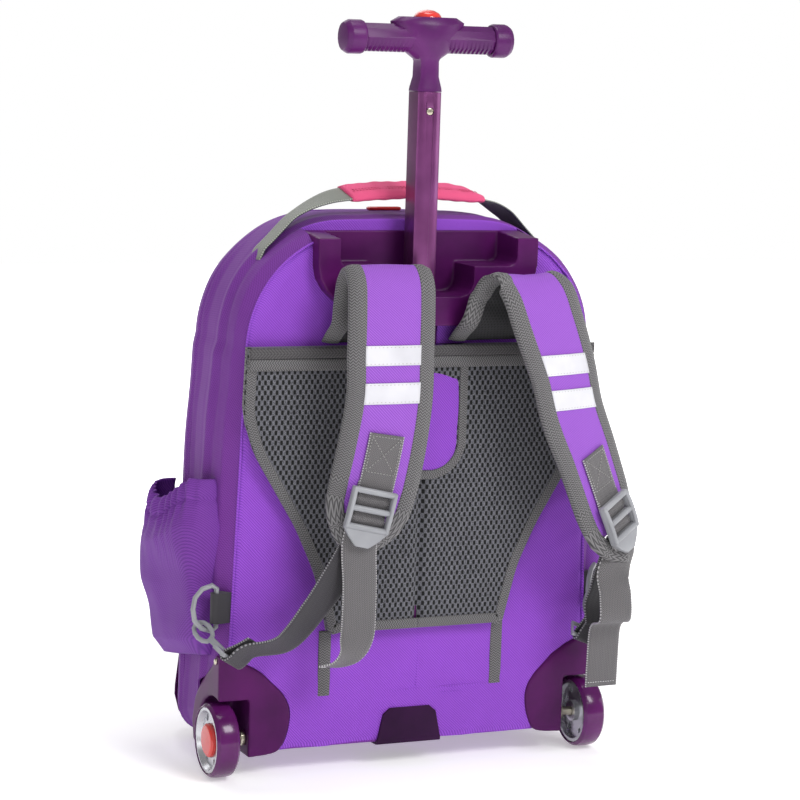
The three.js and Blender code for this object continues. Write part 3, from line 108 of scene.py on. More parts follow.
def hex_linear(text):
    """An sRGB hex colour as linear red, green and blue."""
    values = [int(text[k:k + 2], 16) / 255 for k in (1, 3, 5)]
    return tuple(v / 12.92 if v <= 0.04045 else ((v + 0.055) / 1.055) ** 2.4 for v in values)


# One function makes every node of every material.
def node(tree, kind, settings=None, links=None):
    """Adds a node; settings are its properties and input values, links its linked inputs.

    A link may be an output, or a node, which then gives its first output.
    """
    made = tree.nodes.new(kind)
    for key, value in (settings or {}).items():
        if isinstance(key, str) and hasattr(made, key):
            setattr(made, key, value)
        else:
            made.inputs[key].default_value = value
    for key, source in (links or {}).items():
        output = source.outputs[0] if isinstance(source, bpy.types.Node) else source
        tree.links.new(output, made.inputs[key])
    return made


def new_material(name):
    made = bpy.data.materials.new(name)
    made.use_nodes = True
    made.node_tree.nodes.clear()
    return made, made.node_tree


floor_paint, tree = new_material("pale_studio_floor")
place = node(tree, "ShaderNodeTexCoord").outputs["Object"]
away = node(tree, "ShaderNodeVectorMath", {"operation": "LENGTH"}, {0: place}).outputs["Value"]
GLOW_FROM, GLOW_TO = 0.35, 1.2
glow = node(tree, "ShaderNodeMapRange",
            {"From Min": GLOW_FROM, "From Max": GLOW_TO, "To Min": FLOOR_GLOW, "To Max": 1.0},
            {"Value": away}).outputs[0]
shader = node(tree, "ShaderNodeBsdfPrincipled",
              {"Base Color": (*hex_linear("#FBFBFB"), 1), "Roughness": 0.9,
               "Emission Color": (1, 1, 1, 1)},
              {"Emission Strength": glow})
node(tree, "ShaderNodeOutputMaterial", links={"Surface": shader})
bpy.ops.mesh.primitive_plane_add(size=FLOOR_SIZE, location=(0, 0, -0.0005))
floor = bpy.context.object
floor.name = "studio_floor"
floor.data.materials.append(floor_paint)
deselect()

world = bpy.data.worlds.new("studio")
bpy.context.scene.world = world
world.use_nodes = True
world.node_tree.nodes["Background"].inputs["Color"].default_value = (1, 1, 1, 1)
world.node_tree.nodes["Background"].inputs["Strength"].default_value = WORLD_LIGHT
tree = world.node_tree
dim = tree.nodes["Background"]
bright = node(tree, "ShaderNodeBackground", {"Color": (1, 1, 1, 1), "Strength": 1.0})
seen = node(tree, "ShaderNodeLightPath")
either = node(tree, "ShaderNodeMixShader", links={0: seen.outputs["Is Camera Ray"], 1: dim, 2: bright})
tree.links.new(either.outputs[0], tree.nodes["World Output"].inputs["Surface"])
bpy.context.scene.view_settings.view_transform = "Standard"


def lamp(name, place, aim, size, watts):
    data = bpy.data.lights.new(name, "AREA")
    data.size = size
    data.energy = watts
    made = bpy.data.objects.new(name, data)
    made.location = place
    made.rotation_euler = (Vector(aim) - Vector(place)).to_track_quat("-Z", "Y").to_euler()
    bpy.context.scene.collection.objects.link(made)


lamp("key_lamp", (0.65, -1.8, 1.8), (0, 0, 0.3), 0.85, 30)
lamp("right_lamp", (2.0, -1.0, 0.9), (0, 0, 0.3), 0.9, 6)
lamp("fill_lamp", (-1.7, -1.9, 1.1), (0, 0, 0.35), 1.0, 7)
lamp("top_lamp", (0.1, 0.1, 2.4), (0, 0, 0.3), 0.9, 15)
lamp("floor_lamp", (0.0, 2.6, 1.8), (0, 1.6, 0), 2.2, 26)
print("camera lens", round(camera_data.lens, 1), "mm")

# %% [markdown]
# ## Finishes
# The bag's cloth is a polyester twill: fine slanting ribs, a soft sheen and small creases. A
# picture of cloth could be wrapped on, but its grain would stretch. Here waves of real size
# draw the ribs, and two noises give the uneven dye and the creases. The real ribs are too fine
# for this picture, so they are drawn coarser.

# %% Violet polyester twill
TWILL_MM = 1.7
RIB_TURN, CROSS_TURN = 1.41, 1.1
CLOUD_SCALE, CRUMPLE_SCALE = 9.0, 26.0


def twill(name, light, dark, shade, sheen, source="Object"):
    """Twill in three hex colours; with source UV its ribs turn with the cloth."""
    made, tree = new_material(name)
    origin = node(tree, "ShaderNodeTexCoord")
    place = node(tree, "ShaderNodeMapping", {"Scale": (1000 / TWILL_MM,) * 3},
                 {"Vector": origin.outputs[source]})
    x, y, z = node(tree, "ShaderNodeSeparateXYZ", links={"Vector": place}).outputs
    level = node(tree, "ShaderNodeMath", {"operation": "ADD"}, {0: x, 1: y})
    diagonal = node(tree, "ShaderNodeMath", {"operation": "ADD"}, {0: level, 1: z})
    rib_turns = node(tree, "ShaderNodeMath", {"operation": "MULTIPLY", 1: 2 * math.pi / RIB_TURN},
                     {0: diagonal})
    rib = node(tree, "ShaderNodeMath", {"operation": "SINE"}, {0: rib_turns})
    slant = node(tree, "ShaderNodeMath", {"operation": "SUBTRACT"}, {0: z, 1: x})
    cross_turns = node(tree, "ShaderNodeMath", {"operation": "MULTIPLY", 1: 2 * math.pi / CROSS_TURN},
                       {0: slant})
    cross = node(tree, "ShaderNodeMath", {"operation": "SINE"}, {0: cross_turns})
    soft_cross = node(tree, "ShaderNodeMath", {"operation": "MULTIPLY", 1: 0.3}, {0: cross})
    both = node(tree, "ShaderNodeMath", {"operation": "MULTIPLY_ADD", 1: 0.7}, {0: rib, 2: soft_cross})
    weave = node(tree, "ShaderNodeMapRange", {"From Min": -1.0, "From Max": 1.0}, {"Value": both})
    cloud = node(tree, "ShaderNodeTexNoise", {"Scale": CLOUD_SCALE, "Detail": 3.0},
                 {"Vector": origin.outputs["Object"]})
    dye = node(tree, "ShaderNodeMapRange", {"From Min": 0.35, "From Max": 0.75, "To Max": 0.35},
               {"Value": cloud})
    yarn = node(tree, "ShaderNodeMix",
                {"data_type": "RGBA", 6: (*hex_linear(dark), 1), 7: (*hex_linear(light), 1)},
                {0: weave})
    colour = node(tree, "ShaderNodeMix", {"data_type": "RGBA", 7: (*hex_linear(shade), 1)},
                  {0: dye, 6: yarn.outputs[2]})
    creases = node(tree, "ShaderNodeTexNoise", {"Scale": CRUMPLE_SCALE, "Detail": 4.0},
                   {"Vector": origin.outputs["Object"]})
    crumple = node(tree, "ShaderNodeBump", {"Distance": 0.0016, "Strength": 0.35}, {"Height": creases})
    relief = node(tree, "ShaderNodeBump", {"Distance": 0.0003, "Strength": 0.7},
                  {"Height": weave, "Normal": crumple})
    shader = node(tree, "ShaderNodeBsdfPrincipled",
                  {"Roughness": 0.72, "Sheen Weight": sheen, "Sheen Roughness": 0.45,
                   "Sheen Tint": (*hex_linear("#D9B8F5"), 1), "Specular IOR Level": 0.35},
                  {"Base Color": colour.outputs[2], "Normal": relief})
    node(tree, "ShaderNodeOutputMaterial", links={"Surface": shader})
    return made


# The back panel catches the light full on, so its dye looks the clearest.
violet_twill = twill("violet_polyester_twill", "#A355DA", "#6A2CA2", "#7C3CAE", 0.08)
# The gussets are the same cloth with painted shade: drawn darker and redder, as where it turns away from
# the light.
gusset_cloth_painted_shade = twill("violet_gusset_painted_shade", "#823A9F", "#5A1F7C", "#612780", 0.06, "UV")
# A darker copy of the twill with painted shade, for the front panel and the pockets that lie out of the
# light.
twill_in_painted_shade = twill("violet_cloth_painted_shade", "#803CA6", "#582280", "#602A84", 0.06)
# The straps' twill is a little paler, and the sleeve's is a warm pink.
strap_twill = twill("violet_strap_twill", "#A262CE", "#763AA6", "#8849B2", 0.1)
pink_twill = twill("pink_polyester_twill", "#EA5F8C", "#CE3F6E", "#D84C7A", 0.08)
print("twill ribs", TWILL_MM * RIB_TURN, "mm apart")

# %% [markdown]
# Webbing is woven in zigzag columns, and a painted highlight stands for the loops that catch the
# light along both edges. The pattern has to follow the band round every turn, so it reads the band's
# own UV map, which is in metres. The knitted binding is the same recipe with wide, dark, loose ribs.

# %% Grey webbing and knitted binding
WEB_RIB_MM = 1.5


def webbing(name, light, dark, rib_mm, column_mm, edge_mm, painted_edge_highlight):
    """Woven tape: zigzag columns of ribs, and teeth of painted highlight along its edges."""
    made, tree = new_material(name)
    map_of_band = node(tree, "ShaderNodeUVMap")
    place = node(tree, "ShaderNodeMapping", {"Scale": (1000, 1000, 1000)}, {"Vector": map_of_band})
    u, v, _ = node(tree, "ShaderNodeSeparateXYZ", links={"Vector": place}).outputs
    zigzag = node(tree, "ShaderNodeMath", {"operation": "PINGPONG", 1: column_mm}, {0: u})
    run = node(tree, "ShaderNodeMath", {"operation": "ADD"}, {0: v, 1: zigzag})
    rib_turns = node(tree, "ShaderNodeMath", {"operation": "MULTIPLY", 1: 2 * math.pi / rib_mm}, {0: run})
    ribs = node(tree, "ShaderNodeMath", {"operation": "SINE"}, {0: rib_turns})
    column_turns = node(tree, "ShaderNodeMath", {"operation": "MULTIPLY", 1: 4 * math.pi / column_mm},
                        {0: u})
    columns = node(tree, "ShaderNodeMath", {"operation": "SINE"}, {0: column_turns})
    soft_columns = node(tree, "ShaderNodeMath", {"operation": "MULTIPLY", 1: 0.25}, {0: columns})
    both = node(tree, "ShaderNodeMath", {"operation": "MULTIPLY_ADD", 1: 0.75},
                {0: ribs, 2: soft_columns})
    weave = node(tree, "ShaderNodeMapRange", {"From Min": -1.0, "From Max": 1.0}, {"Value": both})
    off_middle = node(tree, "ShaderNodeMath", {"operation": "ABSOLUTE"}, {0: u})
    rim = node(tree, "ShaderNodeMapRange", {"From Min": edge_mm - 1.3, "From Max": edge_mm - 0.7},
               {"Value": off_middle})
    tooth_turns = node(tree, "ShaderNodeMath",
                       {"operation": "MULTIPLY", 1: 2 * math.pi / (rib_mm * 1.4)}, {0: v})
    tooth_wave = node(tree, "ShaderNodeMath", {"operation": "SINE"}, {0: tooth_turns})
    teeth = node(tree, "ShaderNodeMapRange", {"From Min": -0.2, "From Max": 0.4}, {"Value": tooth_wave})
    edge = node(tree, "ShaderNodeMath", {"operation": "MULTIPLY"}, {0: rim, 1: teeth})
    yarn = node(tree, "ShaderNodeMix",
                {"data_type": "RGBA", 6: (*hex_linear(dark), 1), 7: (*hex_linear(light), 1)},
                {0: weave})
    colour = node(tree, "ShaderNodeMix", {"data_type": "RGBA", 7: (*hex_linear(painted_edge_highlight), 1)},
                  {0: edge, 6: yarn.outputs[2]})
    relief = node(tree, "ShaderNodeBump", {"Distance": 0.00035, "Strength": 0.7}, {"Height": weave})
    shader = node(tree, "ShaderNodeBsdfPrincipled",
                  {"Roughness": 0.62, "Sheen Weight": 0.15, "Sheen Roughness": 0.5,
                   "Specular IOR Level": 0.4},
                  {"Base Color": colour.outputs[2], "Normal": relief})
    node(tree, "ShaderNodeOutputMaterial", links={"Surface": shader})
    return made


# Woven polyester looks mid grey and slightly glossy. The load webs are the same webbing as the
# tails, drawn nearly black with painted shade where they hang in shadow; the ring tabs use it too.
grey_webbing = webbing("grey_polyester_webbing", "#7C797B", "#333134", WEB_RIB_MM, 3.0, 15.0, "#BDBBBD")
webbing_in_painted_shade = webbing("polyester_webbing_painted_shade", "#403D43", "#19171B", WEB_RIB_MM, 3.0, 15.0, "#8D8B8F")
handle_webbing = webbing("grey_handle_webbing", "#8B8F86", "#5F625C", WEB_RIB_MM, 2.6, 12.5, "#A9ACA2")
# The handle web's underside is the same webbing drawn nearly black: painted shade on the side turned from
# the light.
underside_in_painted_shade = webbing("web_underside_painted_shade", "#2E2B3C", "#17151F", WEB_RIB_MM, 2.6, 12.5,
                           "#3A3748")
# The knitted tape is loose and matt, so its loops read as a coarse speckle.
knit_binding = webbing("grey_knitted_binding", "#7E7C7E", "#161417", 2.2, 2.0, 60.0, "#716F6C")
yoke_webbing = webbing("dark_yoke_webbing", "#5A5759", "#2C2A2D", 2.8, 4.0, 60.0, "#5A5759")
print("webbing ribs", WEB_RIB_MM, "mm apart")

# %% [markdown]
# The mesh is a knit with rows of round holes over foam. Real holes could be cut, but there would
# be thousands of them. Two cosines multiplied give an offset lattice of spots painted near black as
# the shade inside the holes, and the bump sinks them. The holes are drawn a little larger than they are on
# the bag.

# %% Grey spacer mesh
HOLE_ACROSS_MM, HOLE_ROW_MM = 5.0, 4.1


def holes(tree, across_mm, row_mm, low, high):
    """1 in the holes of a mesh and 0 on its yarn, with the holes in offset rows."""
    origin = node(tree, "ShaderNodeTexCoord")
    place = node(tree, "ShaderNodeMapping", {"Scale": (1000, 1000, 1000)},
                 {"Vector": origin.outputs["Object"]})
    split = node(tree, "ShaderNodeSeparateXYZ", links={"Vector": place})
    rows_of = []
    for axis, half_mm in (("X", across_mm / 2), ("Z", row_mm)):
        turns = node(tree, "ShaderNodeMath", {"operation": "MULTIPLY", 1: math.pi / half_mm},
                     {0: split.outputs[axis]})
        rows_of.append(node(tree, "ShaderNodeMath", {"operation": "COSINE"}, {0: turns}))
    lattice = node(tree, "ShaderNodeMath", {"operation": "MULTIPLY"}, {0: rows_of[0], 1: rows_of[1]})
    return node(tree, "ShaderNodeMapRange", {"From Min": low, "From Max": high}, {"Value": lattice})


mesh_cloth, tree = new_material("grey_spacer_mesh")
origin = node(tree, "ShaderNodeTexCoord")
hole = holes(tree, HOLE_ACROSS_MM, HOLE_ROW_MM, -0.06, 0.24)
fuzz = node(tree, "ShaderNodeTexNoise", {"Scale": 1500.0, "Detail": 2.0},
            {"Vector": origin.outputs["Object"]})
share = node(tree, "ShaderNodeMapRange", {"From Min": 0.3, "From Max": 0.7}, {"Value": fuzz})
yarn = node(tree, "ShaderNodeMix", {"data_type": "RGBA", 6: (*hex_linear("#36363C"), 1),
                                    7: (*hex_linear("#7C7C84"), 1)}, {0: share})
# The holes' near-black is painted shade, for the depth of holes that are not cut.
colour = node(tree, "ShaderNodeMix", {"data_type": "RGBA", 7: (*hex_linear("#0B0B0D"), 1)},
              {0: hole, 6: yarn.outputs[2]})
height = node(tree, "ShaderNodeMath", {"operation": "SUBTRACT", 0: 1.0}, {1: hole})
relief = node(tree, "ShaderNodeBump", {"Distance": 0.001, "Strength": 0.8}, {"Height": height})
shader = node(tree, "ShaderNodeBsdfPrincipled",
              {"Roughness": 0.75, "Sheen Weight": 0.15, "Specular IOR Level": 0.3},
              {"Base Color": colour.outputs[2], "Normal": relief})
node(tree, "ShaderNodeOutputMaterial", links={"Surface": shader})
print("mesh holes", HOLE_ACROSS_MM, "by", HOLE_ROW_MM, "mm")

# %% [markdown]
# Plastic, rubber, lacquer and metal differ in how sharp their highlights are. One recipe
# serves all of them: a slow cloud changes colour and gloss a little, and a fine grain breaks
# up the highlight. Thread uses it too, with a dull surface.

# %% Moulded and lacquered finishes


def moulded(name, colour, deep, roughness, grain_mm, grain_strength, **shine):
    """A hard coloured surface with a slow cloud of gloss and a fine grain."""
    made, tree = new_material(name)
    origin = node(tree, "ShaderNodeTexCoord")
    place = origin.outputs["Object"]
    grain = node(tree, "ShaderNodeTexNoise", {"Scale": 1000 / grain_mm, "Detail": 2.0}, {"Vector": place})
    cloud = node(tree, "ShaderNodeTexNoise", {"Scale": 30.0, "Detail": 3.0}, {"Vector": place})
    share = node(tree, "ShaderNodeMapRange", {"From Min": 0.3, "From Max": 0.7}, {"Value": cloud})
    paint = node(tree, "ShaderNodeMix",
                 {"data_type": "RGBA", 6: (*hex_linear(deep), 1), 7: (*hex_linear(colour), 1)},
                 {0: share})
    rough = node(tree, "ShaderNodeMapRange", {"To Min": roughness - 0.05, "To Max": roughness + 0.07},
                 {"Value": cloud})
    relief = node(tree, "ShaderNodeBump", {"Distance": 0.00012, "Strength": grain_strength},
                  {"Height": grain})
    shader = node(tree, "ShaderNodeBsdfPrincipled",
                  {key.replace("_", " "): value for key, value in shine.items()},
                  {"Base Color": paint.outputs[2], "Roughness": rough, "Normal": relief})
    node(tree, "ShaderNodeOutputMaterial", links={"Surface": shader})
    return made


# Injection-moulded ABS with a spark-eroded grain: deep colour and a broad, dull highlight.
plum_abs = moulded("plum_moulded_abs", "#561259", "#430C47", 0.34, 1.1, 0.3, Specular_IOR_Level=0.16)
dark_abs = moulded("dark_plum_moulded_abs", "#331039", "#270B2C", 0.4, 1.1, 0.3, Specular_IOR_Level=0.12)
# Moulded rubber of the grip: the same plum, a little lighter and softer.
plum_grip = moulded("plum_grip_rubber", "#5C1C62", "#491450", 0.36, 1.0, 0.2, Specular_IOR_Level=0.25)
# Cast polyurethane of the tyres: smooth, with a clear skin that mirrors the lamps.
plum_tyre = moulded("plum_polyurethane_tyre", "#641A68", "#4E124E", 0.2, 2.5, 0.1, Coat_Weight=0.3,
                    Coat_Roughness=0.12, Specular_IOR_Level=0.25)
# Moulded acetal of the buckles: light grey and waxy.
grey_acetal = moulded("light_grey_acetal", "#98999E", "#85868B", 0.36, 1.2, 0.2)
# Polished ABS of button, caps and pull: saturated red with a sharp highlight.
red_abs = moulded("red_gloss_abs", "#E23A34", "#D2322D", 0.2, 2.0, 0.05, Coat_Weight=0.4,
                  Coat_Roughness=0.08)
# Metal: lacquered hubs, plated screws and axles, and the drawn tubes under plum lacquer.
silver_lacquer = moulded("silver_lacquered_hub", "#D5D6DA", "#B9BAC0", 0.26, 1.5, 0.05, Metallic=0.85)
plated_steel = moulded("plated_steel", "#CFC8B4", "#B5AE9C", 0.28, 1.5, 0.05, Metallic=1.0)
tube_lacquer = moulded("plum_lacquered_aluminium", "#864680", "#6C3366", 0.3, 0.9, 0.1, Metallic=0.75,
                       Coat_Weight=0.3, Coat_Roughness=0.1)
# Reflective tape looks plain white by daylight. Sewing thread is matt.
reflective_tape = moulded("white_reflective_tape", "#D6D5DB", "#C6C5CC", 0.35, 0.8, 0.5)
white_thread = moulded("white_thread", "#E9E7EA", "#D9D7DA", 0.7, 0.8, 0.2)
violet_thread = moulded("violet_thread", "#8440C0", "#7234AC", 0.7, 0.8, 0.2)
pink_thread = moulded("dark_pink_thread", "#B8345E", "#A82C54", 0.7, 0.8, 0.2)
grey_thread = moulded("grey_thread", "#B0AEAC", "#9C9A98", 0.7, 0.8, 0.2)
print("materials", len(bpy.data.materials))

# %% [markdown]
# ## Tools for cloth, bands and rounded hard parts
# A sweep carries a cross-section along a smooth path and writes a UV map in metres, so
# a weave can follow it. A hard part is a copy of its CAD piece with its edges bevelled.

# %% Pieces and modifiers


def mesh_piece(name, points, faces, materials, body="bag", slot="grey_webbing", uvs=None, indices=None):
    """A mesh object from points in millimetres, ridden on its body."""
    data = bpy.data.meshes.new(name)
    places = (np.array(points, float) - np.array([0.0, ORIGIN_Y, 0.0])) / 1000
    data.from_pydata(places.tolist(), [], faces)
    for entry in materials:
        data.materials.append(entry)
    if uvs is not None:
        layer = data.uv_layers.new(name="UVMap")
        corners = np.zeros(len(data.loops), dtype=int)
        data.loops.foreach_get("vertex_index", corners)
        layer.data.foreach_set("uv", np.array(uvs, float)[corners].ravel())
    if indices is not None:
        for polygon, index in zip(data.polygons, indices):
            polygon.material_index = index
    data.polygons.foreach_set("use_smooth", [True] * len(data.polygons))
    made = bpy.data.objects.new(name, data)
    bpy.context.scene.collection.objects.link(made)
    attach(made, body)
    return made


def activate(piece):
    deselect()
    piece.select_set(True)
    bpy.context.view_layer.objects.active = piece


def outward(piece):
    """Merges doubled points and turns every face outwards."""
    activate(piece)
    bpy.ops.object.mode_set(mode="EDIT")
    bpy.ops.mesh.select_all(action="SELECT")
    bpy.ops.mesh.remove_doubles(threshold=1e-6)
    bpy.ops.mesh.normals_make_consistent(inside=False)
    bpy.ops.object.mode_set(mode="OBJECT")
    deselect()
    return piece


def modify(piece, kind, **settings):
    """Adds a modifier, sets it and applies it at once."""
    activate(piece)
    made = piece.modifiers.new(kind.lower(), kind)
    for key, value in settings.items():
        setattr(made, key, value)
    bpy.ops.object.modifier_apply(modifier=made.name)
    deselect()
    return piece


def smooth_by_angle(piece, degrees=35):
    activate(piece)
    bpy.ops.object.shade_smooth_by_angle(angle=math.radians(degrees))
    deselect()
    return piece


def drop(piece):
    data = piece.data
    bpy.data.objects.remove(piece)
    bpy.data.meshes.remove(data)


print("piece tools ready")

# %% [markdown]
# Webbing and straps hang in long soft curves. They could be Blender curves, but here each line
# is needed as points, to lay stitches and bindings beside it. A spline through a few given
# points is resampled in equal steps.

# %% Smooth lines through a few points


def curve_through(rows, count):
    """Smooth values through rows of numbers, evenly spaced in their own parameter."""
    rows = np.array(rows, float)
    spots = np.linspace(0, len(rows) - 1, count)
    out = []
    for spot in spots:
        k = min(int(spot), len(rows) - 2)
        t = spot - k
        p0, p1, p2, p3 = (rows[min(max(k + j, 0), len(rows) - 1)] for j in (-1, 0, 1, 2))
        out.append(0.5 * ((2 * p1) + (p2 - p0) * t + (2 * p0 - 5 * p1 + 4 * p2 - p3) * t ** 2
                          + (3 * p1 - p0 - 3 * p2 + p3) * t ** 3))
    return np.array(out)


def even(points, count):
    """The same polyline with its points at equal distances."""
    points = np.array(points, float)
    steps = np.linalg.norm(np.diff(points[:, :3], axis=0), axis=1)
    length = np.concatenate([[0], np.cumsum(steps)])
    at = np.linspace(0, length[-1], count)
    return np.stack([np.interp(at, length, points[:, k]) for k in range(points.shape[1])], axis=1)


print("line tools ready")

# %% [markdown]
# A band keeps one cross-section while it bends and turns. The sweep places that section at each
# step of the line, across a given direction, and writes the distance along the band into the
# UV map. Each band is closed at both ends.

# %% Bands swept along a line


def frames_along(path, wide):
    """Unit vectors along, across and out of a band at every station."""
    path = np.array(path, float)
    along = np.gradient(path, axis=0)
    along /= np.linalg.norm(along, axis=1)[:, None]
    wide = np.array(wide, float)
    wide = wide - along * (along * wide).sum(1)[:, None]
    wide /= np.linalg.norm(wide, axis=1)[:, None]
    return along, wide, np.cross(along, wide)


def sweep(name, path, wide, section, materials, scale=None, indices=None, **placing):
    """Carries a closed section of (across, out) points along a path; UVs hold metres."""
    path = np.array(path, float)
    _, side, out = frames_along(path, wide)
    length = np.concatenate([[0], np.cumsum(np.linalg.norm(np.diff(path, axis=0), axis=1))])
    count = len(section)
    points = []
    uvs = []
    for k, station in enumerate(path):
        grow = (1, 1) if scale is None else scale[k]
        for u, w in section:
            points.append(station + side[k] * u * grow[0] + out[k] * w * grow[1])
            uvs.append((u * grow[0] / 1000, length[k] / 1000))
    faces = []
    face_index = []
    for k in range(len(path) - 1):
        for j in range(count):
            a, b = k * count + j, k * count + (j + 1) % count
            faces.append((a, b, b + count, a + count))
            face_index.append(indices[j] if indices else 0)
    faces.append(tuple(range(count)))
    faces.append(tuple((len(path) - 1) * count + j for j in range(count))[::-1])
    face_index += [0, 0]
    made = mesh_piece(name, points, faces, materials, uvs=uvs, indices=face_index, **placing)
    return outward(made)


def band_section(width, thick, steps=6, crown=0.0):
    """A flat band with rounded edges: (across, out) points, once round."""
    w, t = width / 2, thick / 2
    top = [(u, t + crown * (1 - (u / w) ** 2)) for u in np.linspace(-w + t * 0.6, w - t * 0.6, steps)]
    return [(-w, 0)] + top + [(w, 0)] + [(u, -t) for u, _ in reversed(top)]


print("sweep tools ready")

# %% [markdown]
# Moulded parts have no knife edges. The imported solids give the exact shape, so they are copied
# and their edges are bevelled. Where a shape is full of curves, a fine remesh that is smoothed
# afterwards gives a softer body.

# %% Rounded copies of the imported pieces


def frame_body(node_name):
    """The body that a CAD node rides on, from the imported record."""
    bodies = frame["record"]["behaviour"]["bodies"]
    return next(body for body, members in bodies.items() if node_name in members)


def softened(node_name, width_mm, material, segments=3, angle=28):
    """A CAD piece's copy: flat triangles joined, sharp edges rounded, shaded smooth."""
    source = frame["nodes"][node_name]
    made = source.copy()
    made.data = source.data.copy()
    made.name = node_name + "_finished"
    made.parent = None
    for key in list(made.keys()):
        del made[key]
    bpy.context.scene.collection.objects.link(made)
    made.data.materials.clear()
    made.data.materials.append(material)
    activate(made)
    bpy.ops.object.mode_set(mode="EDIT")
    bpy.ops.mesh.select_all(action="SELECT")
    bpy.ops.mesh.remove_doubles(threshold=2e-6)
    bpy.ops.mesh.dissolve_limited(angle_limit=math.radians(1.5))
    bpy.ops.object.mode_set(mode="OBJECT")
    if width_mm > 0:
        modify(made, "BEVEL", width=width_mm / 1000, segments=segments, limit_method="ANGLE",
               angle_limit=math.radians(angle), use_clamp_overlap=True, harden_normals=False)
    smooth_by_angle(made, 40)
    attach(made, frame_body(node_name))
    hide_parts(node_name)
    return made


def rounded(node_name, material, voxel_mm, passes, mould=None):
    """A CAD piece's copy, rebuilt on a fine even grid and relaxed into a soft-edged moulding."""
    made = softened(node_name, 0.0, material)
    if mould is not None:
        cut(made, mould, "INTERSECT")
    modify(made, "REMESH", mode="VOXEL", voxel_size=voxel_mm / 1000)
    modify(made, "SMOOTH", factor=0.5, iterations=passes)
    modify(made, "DECIMATE", decimate_type="COLLAPSE", ratio=0.4)
    return smooth_by_angle(made, 60)


# %% [markdown]
# The cross bars of the ladder locks are round. A plain cylinder is turned into place, and a
# narrow bevel takes the sharpness off its ends.

# %% Round bars


def rod(name, start, end, radius_mm, material):
    """A round bar: a cylinder added at its size and place, with both rims bevelled."""
    start, end = Vector(row(start)), Vector(row(end))
    line = end - start
    deselect()
    bpy.ops.mesh.primitive_cylinder_add(vertices=20, radius=radius_mm / 1000, depth=line.length,
                                        location=(start + end) / 2,
                                        rotation=line.to_track_quat("Z", "Y").to_euler())
    made = bpy.context.object
    made.name = name
    bpy.ops.object.transform_apply(location=True, rotation=True, scale=True)
    modify(made, "BEVEL", width=radius_mm * 0.3 / 1000, segments=2, limit_method="ANGLE",
           angle_limit=math.radians(40))
    made.data.materials.append(material)
    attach(made, "bag")
    return smooth_by_angle(made, 40)


print("bar tool ready")

# %% [markdown]
# A seam shows as short threads that dip in and out of the cloth. A dashed texture would look
# flat in a close view, so each stitch is a small four-sided spindle, and one row is one mesh.

# %% Rows of stitches


STITCH_SHARE = 0.62


def stitches(name, path, normals, thread, pitch=3.2, radius=0.32, slot="grey_webbing"):
    """Thread dashes along a path: small closed spindles lying on the cloth."""
    path = np.array(path, float)
    normals = np.array(normals, float)
    if normals.ndim == 1:
        normals = np.tile(normals, (len(path), 1))
    both = np.concatenate([path, normals], axis=1)
    total = np.linalg.norm(np.diff(path, axis=0), axis=1).sum()
    number = max(2, int(total / pitch))
    fine = even(both, number * 2 + 1)
    points = []
    faces = []
    for k in range(number):
        first = fine[2 * k]
        start = first[:3]
        end = start + (fine[2 * k + 2][:3] - start) * STITCH_SHARE
        up = first[3:] / np.linalg.norm(first[3:])
        line = (end - start) / max(1e-6, np.linalg.norm(end - start))
        side = np.cross(line, up)
        base = len(points)
        points.append(start - up * radius * 0.3)
        for share_along in (0.25, 0.75):
            centre = start + (end - start) * share_along + up * radius * 0.35
            for a in range(4):
                angle = math.pi / 4 + a * math.pi / 2
                points.append(centre + side * radius * math.cos(angle) + up * radius * math.sin(angle))
        points.append(end - up * radius * 0.3)
        for a in range(4):
            b = (a + 1) % 4
            faces.append((base, base + 1 + b, base + 1 + a))
            faces.append((base + 1 + a, base + 1 + b, base + 5 + b, base + 5 + a))
            faces.append((base + 5 + a, base + 5 + b, base + 9))
    return outward(mesh_piece(name, points, faces, [thread], slot=slot))


print("tools ready")

# %% [markdown]
# ## The bag's cloth
# The bag is a sewn shell: a back panel, a rear gusset, a front gusset and a front panel.
# Each is rebuilt as a fine grid of its own, from the same table of sections as the model,
# with a cloth thickness. Folds and slow waves are moved out along the normals.

# %% The bag's outline at any depth
BODY_HALF, BODY_TOP, BODY_CROWN, BODY_BASE = 175.0, 452.0, 8.0, 20.0
SHOULDER_R, CORNER_R, SEAM_LEAN = 95.5, 24.0, 12.0
CLOTH = 1.6

# Rows: y, share of the half-width, bulge, share of the top, of the crown and of the base.
SECTIONS = [
    (0.0, 0.9, 0.0, 0.9915, 0.0, 1.05),
    (1.9, 0.914, 0.0, 0.993, 0.1, 1.0),
    (12.35, 0.945, 0.35, 0.997, 0.4, 0.98),
    (33.25, 0.952, 0.7, 1.0, 0.8, 0.94),
    (61.75, 0.95, 0.6, 1.002, 1.0, 0.86),
    (95.0, 0.93, 0.4, 1.0, 1.0, 0.76),
    (118.4, 0.9, 0.4, 0.996, 0.8, 0.7),
    (140.5, 0.866, 0.2, 0.978, 0.5, 0.64),
    (155.45, 0.82, 0.0, 0.955, 0.3, 0.74),
    (160.0, 0.78, 0.0, 0.94, 0.2, 0.95),
]


def smooth_step(low, high, value):
    t = np.clip((value - low) / (high - low), 0, 1)
    return t * t * (3 - 2 * t)


def mix(a, b, t):
    return a + (b - a) * t


def arc_points(cx, cz, r, start, end, steps):
    angles = np.radians(np.linspace(start, end, steps))
    return np.stack([cx + r * np.cos(angles), cz + r * np.sin(angles)], axis=1)


def section_at(y):
    table = np.array(SECTIONS)
    return [float(np.interp(y, table[:, 0], table[:, k])) for k in range(1, 6)]


